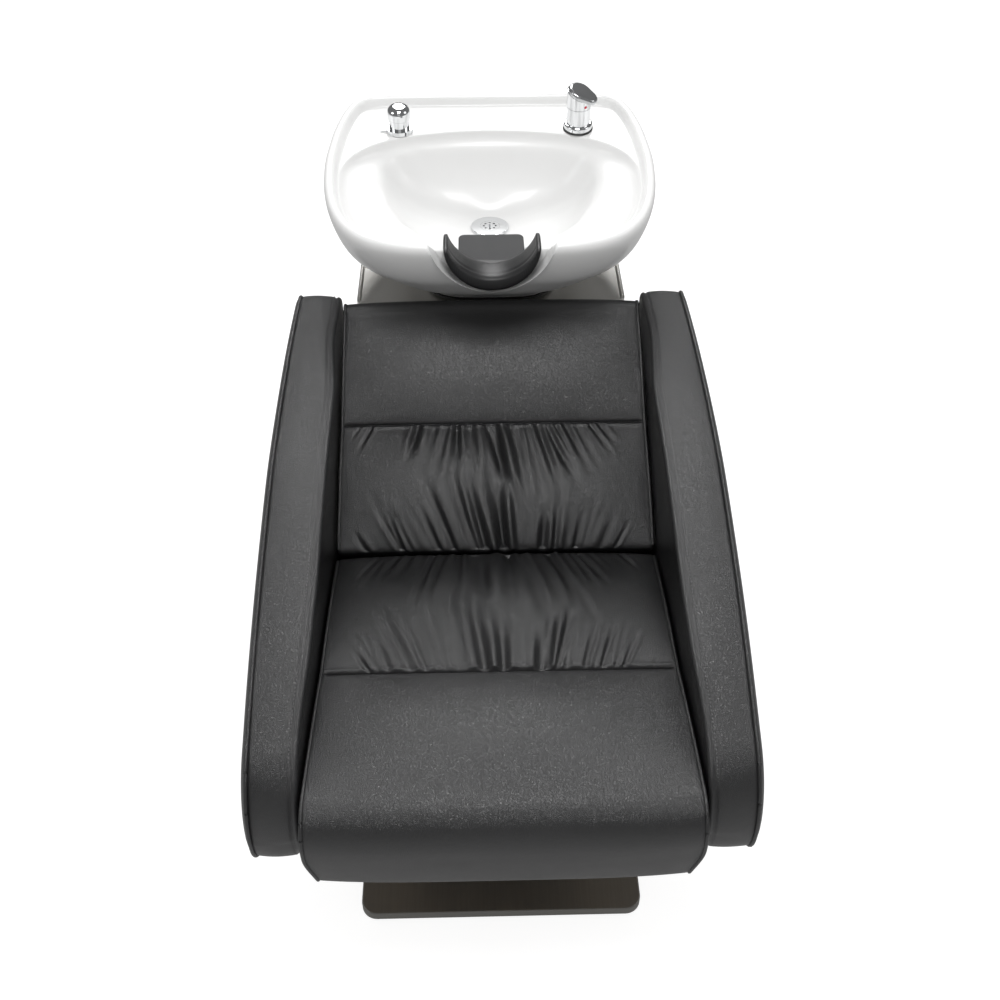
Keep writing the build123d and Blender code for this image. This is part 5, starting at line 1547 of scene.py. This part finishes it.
@dataclass
class NeckRest:
    """Neck rest: a padded crescent roll in the basin's notch and a thin tongue into the bowl."""

    rubber: Material
    centre_z: float = 896.0
    outer: float = 75.3
    inner: float = 72.0
    lift: float = 24.0
    half_sweep: float = 88.0
    sweep_steps: int = 120
    tip_steps: int = 6
    tip_length_share: float = 0.25
    front_y: float = 140.0
    length: float = 56.0
    section_power: float = 3.6
    seam_place: float = -15.0
    seam_depth: float = 1.1
    seam_reach: float = 1.5
    tongue_top: float = 848.0
    tongue_half: float = 53.0
    tongue_end: float = 282.0
    tongue_corner: float = 14.0
    tongue_thickness: float = 8.0
    tongue_slope: float = 0.0175
    tongue_sag: float = 0.6
    tongue_power: float = 9.0

    @staticmethod
    def squarish(count: int, power: float) -> tuple[np.ndarray, np.ndarray]:
        """A superellipse of half size 1: cosine and sine raised to 2 over the power, with their signs.

        Args:
            count: How many points.
            power: 2 for a circle, more for squarer.

        Returns:
            Places across and up.
        """
        angle = np.linspace(0.0, 2 * np.pi, count, endpoint=False)
        waves = (np.cos(angle), np.sin(angle))
        across, up = (np.sign(wave) * np.abs(wave) ** (2.0 / power) for wave in waves)
        return across, up

    def roll(self) -> Piece:
        """The crescent: a soft section between two circles, swept round the notch.

        The outer circle and the inner one, whose middle lies higher, leave a section that is thick
        below and thin at the horns. Past the horns the section shrinks to a point along a quarter circle.
        A narrow sewn line runs round the inner face.

        Returns:
            The roll.
        """
        sweep = np.radians(np.linspace(-self.half_sweep, self.half_sweep, self.sweep_steps + 1))
        down = self.lift * np.cos(sweep)
        near = np.sqrt(down ** 2 - self.lift ** 2 + self.inner ** 2) - down
        rows = [(turn, (at + self.outer) / 2, (self.outer - at) / 2, 1.0) for turn, at in zip(sweep, near)]
        last, middle, half, _ = rows[-1]
        tips = np.linspace(QUARTER, 0.0, self.tip_steps + 1)[1:]
        right = [(last + half * math.cos(tip) / self.outer, middle, half, math.sin(tip)) for tip in tips]
        left = [(-turn, *rest) for turn, *rest in reversed(right)]
        radial, along = self.squarish(64, self.section_power)
        reach = self.length / 2
        away = (along * reach - self.seam_place) / self.seam_reach
        seam = self.seam_depth * np.exp(-(away ** 2)) * (radial < 0)
        points = []
        for turn, middle, half, share in left + rows + right:
            distance = middle + half * radial * share + seam
            long = self.tip_length_share + (1.0 - self.tip_length_share) * share
            y = self.front_y + reach + along * reach * long
            z = self.centre_z - distance * math.cos(turn)
            points.append(np.column_stack([distance * math.sin(turn), y, z]))
        return piece_from_grid("neck_roll", np.array(points) * MM, self.rubber)

    def tongue(self) -> Piece:
        """The tongue: a flat pad with rounded far corners that runs back under the roll.

        Returns:
            The tongue.
        """
        start = self.front_y + self.length / 2
        corner = self.tongue_corner
        bend = self.tongue_end - corner
        far = bend + corner * np.sin(np.linspace(0.0, QUARTER, 12))
        stations = np.concatenate([np.linspace(start, bend, 40, endpoint=False), far])
        across, up = self.squarish(96, self.tongue_power)
        half = self.tongue_thickness / 2
        sag = self.tongue_sag * np.cos(QUARTER * across)
        points = []
        for y in stations:
            reach = max(0.0, y - bend)
            width = self.tongue_half - corner + math.sqrt(max(0.0, corner ** 2 - reach ** 2))
            thick = half * math.sqrt(max(0.0, 1.0 - (reach / corner) ** 6))
            z = self.tongue_top - half - self.tongue_slope * (y - start) + up * thick - sag
            points.append(np.column_stack([across * width, np.full(len(across), y), z]))
        closing = points[0].copy()
        closing[:, 2] = self.tongue_top - half
        return piece_from_grid("neck_tongue", np.array([closing] + points) * MM, self.rubber)

    def build(self) -> list[Piece]:
        """Makes both pieces and lets them ride on the neck rest's body.

        Returns:
            The roll and the tongue.
        """
        made = [self.roll(), self.tongue()]
        for piece in made:
            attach(piece, "neck_rest")
            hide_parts("neck_rest")
        LOG.info("neck rest: %d points", sum(len(piece.data.vertices) for piece in made))
        return made


# Studio, in metres


@dataclass(frozen=True)
class Lamp:
    """A square soft lamp at a place, turned to a target."""

    name: str
    place: Triple
    target: Triple
    size: float
    power: float

    def build(self) -> None:
        """Makes the lamp."""
        data = bpy.data.lights.new(self.name, "AREA")
        data.size = self.size
        data.energy = self.power
        made = put_in_scene(self.name, data)
        made.location = self.place
        made.rotation_euler = (Vector(self.target) - Vector(self.place)).to_track_quat("-Z", "Y").to_euler()


@dataclass
class Studio:
    """Camera, floor and soft light."""

    camera_place: Triple = (-0.027, -1.465, 1.833)
    pitch: float = 42.0
    yaw: float = 1.375
    lens: float = 43.2
    sensor: float = 36.0
    floor_half: float = 30.0
    floor_shade: float = 0.32
    floor_glow: float = 0.82
    glow_in_gloss_share: float = 0.2
    world_to_eye: float = 1.0
    world_as_light: float = 0.74
    world_in_gloss: float = 0.16
    lamps: tuple[Lamp, ...] = (
        Lamp("rear_lamp", (0.0, 2.4, 3.0), (0.0, -0.3, 0.5), 1.15, 50.0),
        Lamp("top_lamp", (0.0, -0.9, 3.3), (0.0, 0.0, 0.6), 1.0, 36.0),
        Lamp("front_lamp", (0.0, -3.0, 2.1), (0.0, 0.2, 0.75), 1.6, 2.5),
        Lamp("left_lamp", (-2.6, -0.6, 2.4), (0.0, 0.0, 0.5), 1.2, 9.0),
        Lamp("right_lamp", (2.6, -0.2, 2.4), (0.0, 0.0, 0.5), 1.2, 9.0),
    )

    def camera(self) -> None:
        """Camera at the photograph's place and angle."""
        data = bpy.data.cameras.new("camera")
        data.lens = self.lens
        data.sensor_width = self.sensor
        made = put_in_scene("camera", data)
        made.location = self.camera_place
        pitch, yaw = math.radians(self.pitch), math.radians(self.yaw)
        ahead = Vector((math.sin(yaw) * math.cos(pitch), math.cos(yaw) * math.cos(pitch), -math.sin(pitch)))
        made.rotation_euler = ahead.to_track_quat("-Z", "Y").to_euler()
        bpy.context.scene.camera = made

    def floor(self) -> None:
        """Grey floor as light, with a glow added for the eye, so that all but the shadow is white."""
        mesh = bpy.data.meshes.new("floor")
        half = self.floor_half
        corners = [(-half, -half, 0), (half, -half, 0), (half, half, 0), (-half, half, 0)]
        mesh.from_pydata(corners, [], [(0, 1, 2, 3)])
        floor = put_in_scene("floor", mesh)
        graph = Graph("floor")
        diffuse = graph.node("ShaderNodeBsdfDiffuse", {}, {"Color": grey(self.floor_shade)})
        glow = graph.node("ShaderNodeEmission", {}, {"Color": grey(1.0), "Strength": self.floor_glow})
        both = graph.node("ShaderNodeAddShader", {}, {0: diffuse.outputs[0], 1: glow.outputs[0]})
        eye = graph.ray("Camera").math("MAXIMUM", graph.ray("Glossy") * self.glow_in_gloss_share)
        eye = eye.math("MAXIMUM", graph.ray("Transmission"))
        sockets = {0: eye, 1: diffuse.outputs[0], 2: both.outputs[0]}
        mesh.materials.append(graph.end(graph.node("ShaderNodeMixShader", {}, sockets).outputs[0]))

    def world(self) -> None:
        """Surroundings that are white to the eye, dimmer as light and nearly dark in gloss."""
        graph = Graph("studio", world=True)
        eye = (graph.ray("Camera") + graph.ray("Transmission")) * (self.world_to_eye - self.world_in_gloss)
        light = graph.ray("Diffuse") * (self.world_as_light - self.world_in_gloss)
        sockets = {"Color": grey(1.0), "Strength": eye + light + self.world_in_gloss}
        bpy.context.scene.world = graph.end(graph.node("ShaderNodeBackground", {}, sockets).outputs[0])

    def build(self) -> None:
        """Makes camera, floor, surroundings and lamps."""
        self.camera()
        self.floor()
        self.world()
        for lamp in self.lamps:
            lamp.build()
        bpy.context.scene.view_settings.view_transform = "Standard"


# Finishes of the solids that stay


def dress(nodes: dict[str, Piece]) -> dict[str, Material]:
    """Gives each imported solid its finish.

    Args:
        nodes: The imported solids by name.

    Returns:
        The finishes that new pieces share.
    """
    leather = Leather().build()
    pale, middle, dark = (0.66, 0.65, 0.62, 1.0), (0.42, 0.41, 0.39, 1.0), (0.23, 0.225, 0.21, 1.0)
    steel = BrushedSteel("pedestal_steel", middle, pale, Grain.UPRIGHT)
    # The plate takes the darker pair of steel shades: partly painted shade for the seat's shadow over the
    # plate
    plate = BrushedSteel("plate_steel", dark, middle, Grain.LENGTHWISE, 0.37)
    neck_rubber = DiamondRubber().build()
    glaze = Glaze().build()
    finishes = {
        leather: ["rear_panel"],
        steel.build(): ["pedestal_shell", "pedestal_deck", "service_door"],
        plate.build(): ["base_plate"],
        Metal("zinc", *worn(0.66, 0.67, 0.68), 0.32).build(): [
            "pedestal_screws", "hinge_leaves", "hinge_pins", "inlet_bracket", "body_bolts", "pillar_screws",
            "back_bolts",
        ],
        Metal("chrome", *worn(0.86, 0.87, 0.88), 0.05, cloud_gloss=0.03, relief_gloss=0.012).build(): [
            "drain_flange", "strainer", "mixer_ring", "mixer_body", "mixer_cap", "shower_guide",
            "shower_head",
        ],
        Metal("satin_chrome", *worn(0.62, 0.63, 0.64), 0.22).build(): ["mixer_lever"],
        Metal("brass", *worn(0.72, 0.56, 0.28), 0.25).build(): ["mixer_nut", "water_inlets"],
        Plastic("white_plastic", grey(0.74), grey(0.82), 0.3).build(): [
            "drain_nut", "tailpiece", "bottle_trap", "waste_pipe", "mixer_cartridge",
        ],
        Plastic("black_plastic", grey(0.03), grey(0.05), 0.5).build(): ["door_catch"],
        Plastic("black_powder_coat", grey(0.02), grey(0.035), 0.45).build(): ["seat_pillar", "back_bracket"],
        Rubber("black_rubber").build(): ["floor_pads", "basin_gasket", "drain_seal", "mixer_seal"],
        Plywood().build(): ["left_arm_core", "right_arm_core", "seat_board", "back_board"],
        glaze: ["basin"],
        neck_rubber: ["neck_rest"],
        BottomCloth().build(): ["under_panel"],
        TemperatureMark().build(): ["temperature_mark"],
    }
    for material, names in finishes.items():
        for name in names:
            for slot in nodes[name].material_slots:
                slot.material = material
    thread = Plastic("thread", grey(0.10), grey(0.16), 0.6).build()
    return {"leather": leather, "thread": thread, "neck_rubber": neck_rubber, "glaze": glaze}


def main() -> None:
    """Builds the bed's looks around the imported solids."""
    logging.basicConfig(level=logging.INFO)
    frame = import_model()
    shared = dress(frame["nodes"])
    sizes = BodySizes()
    leather = shared["leather"]
    SeatCushion(sizes=sizes, leather=leather).build()
    BackCushion(sizes=sizes, leather=leather).build()
    for side in Side:
        Arm(side, sizes, leather, shared["thread"]).build()
    Basin(shared["glaze"]).build()
    NeckRest(shared["neck_rubber"]).build()
    Studio().build()


if __name__ == "__main__":
    main()
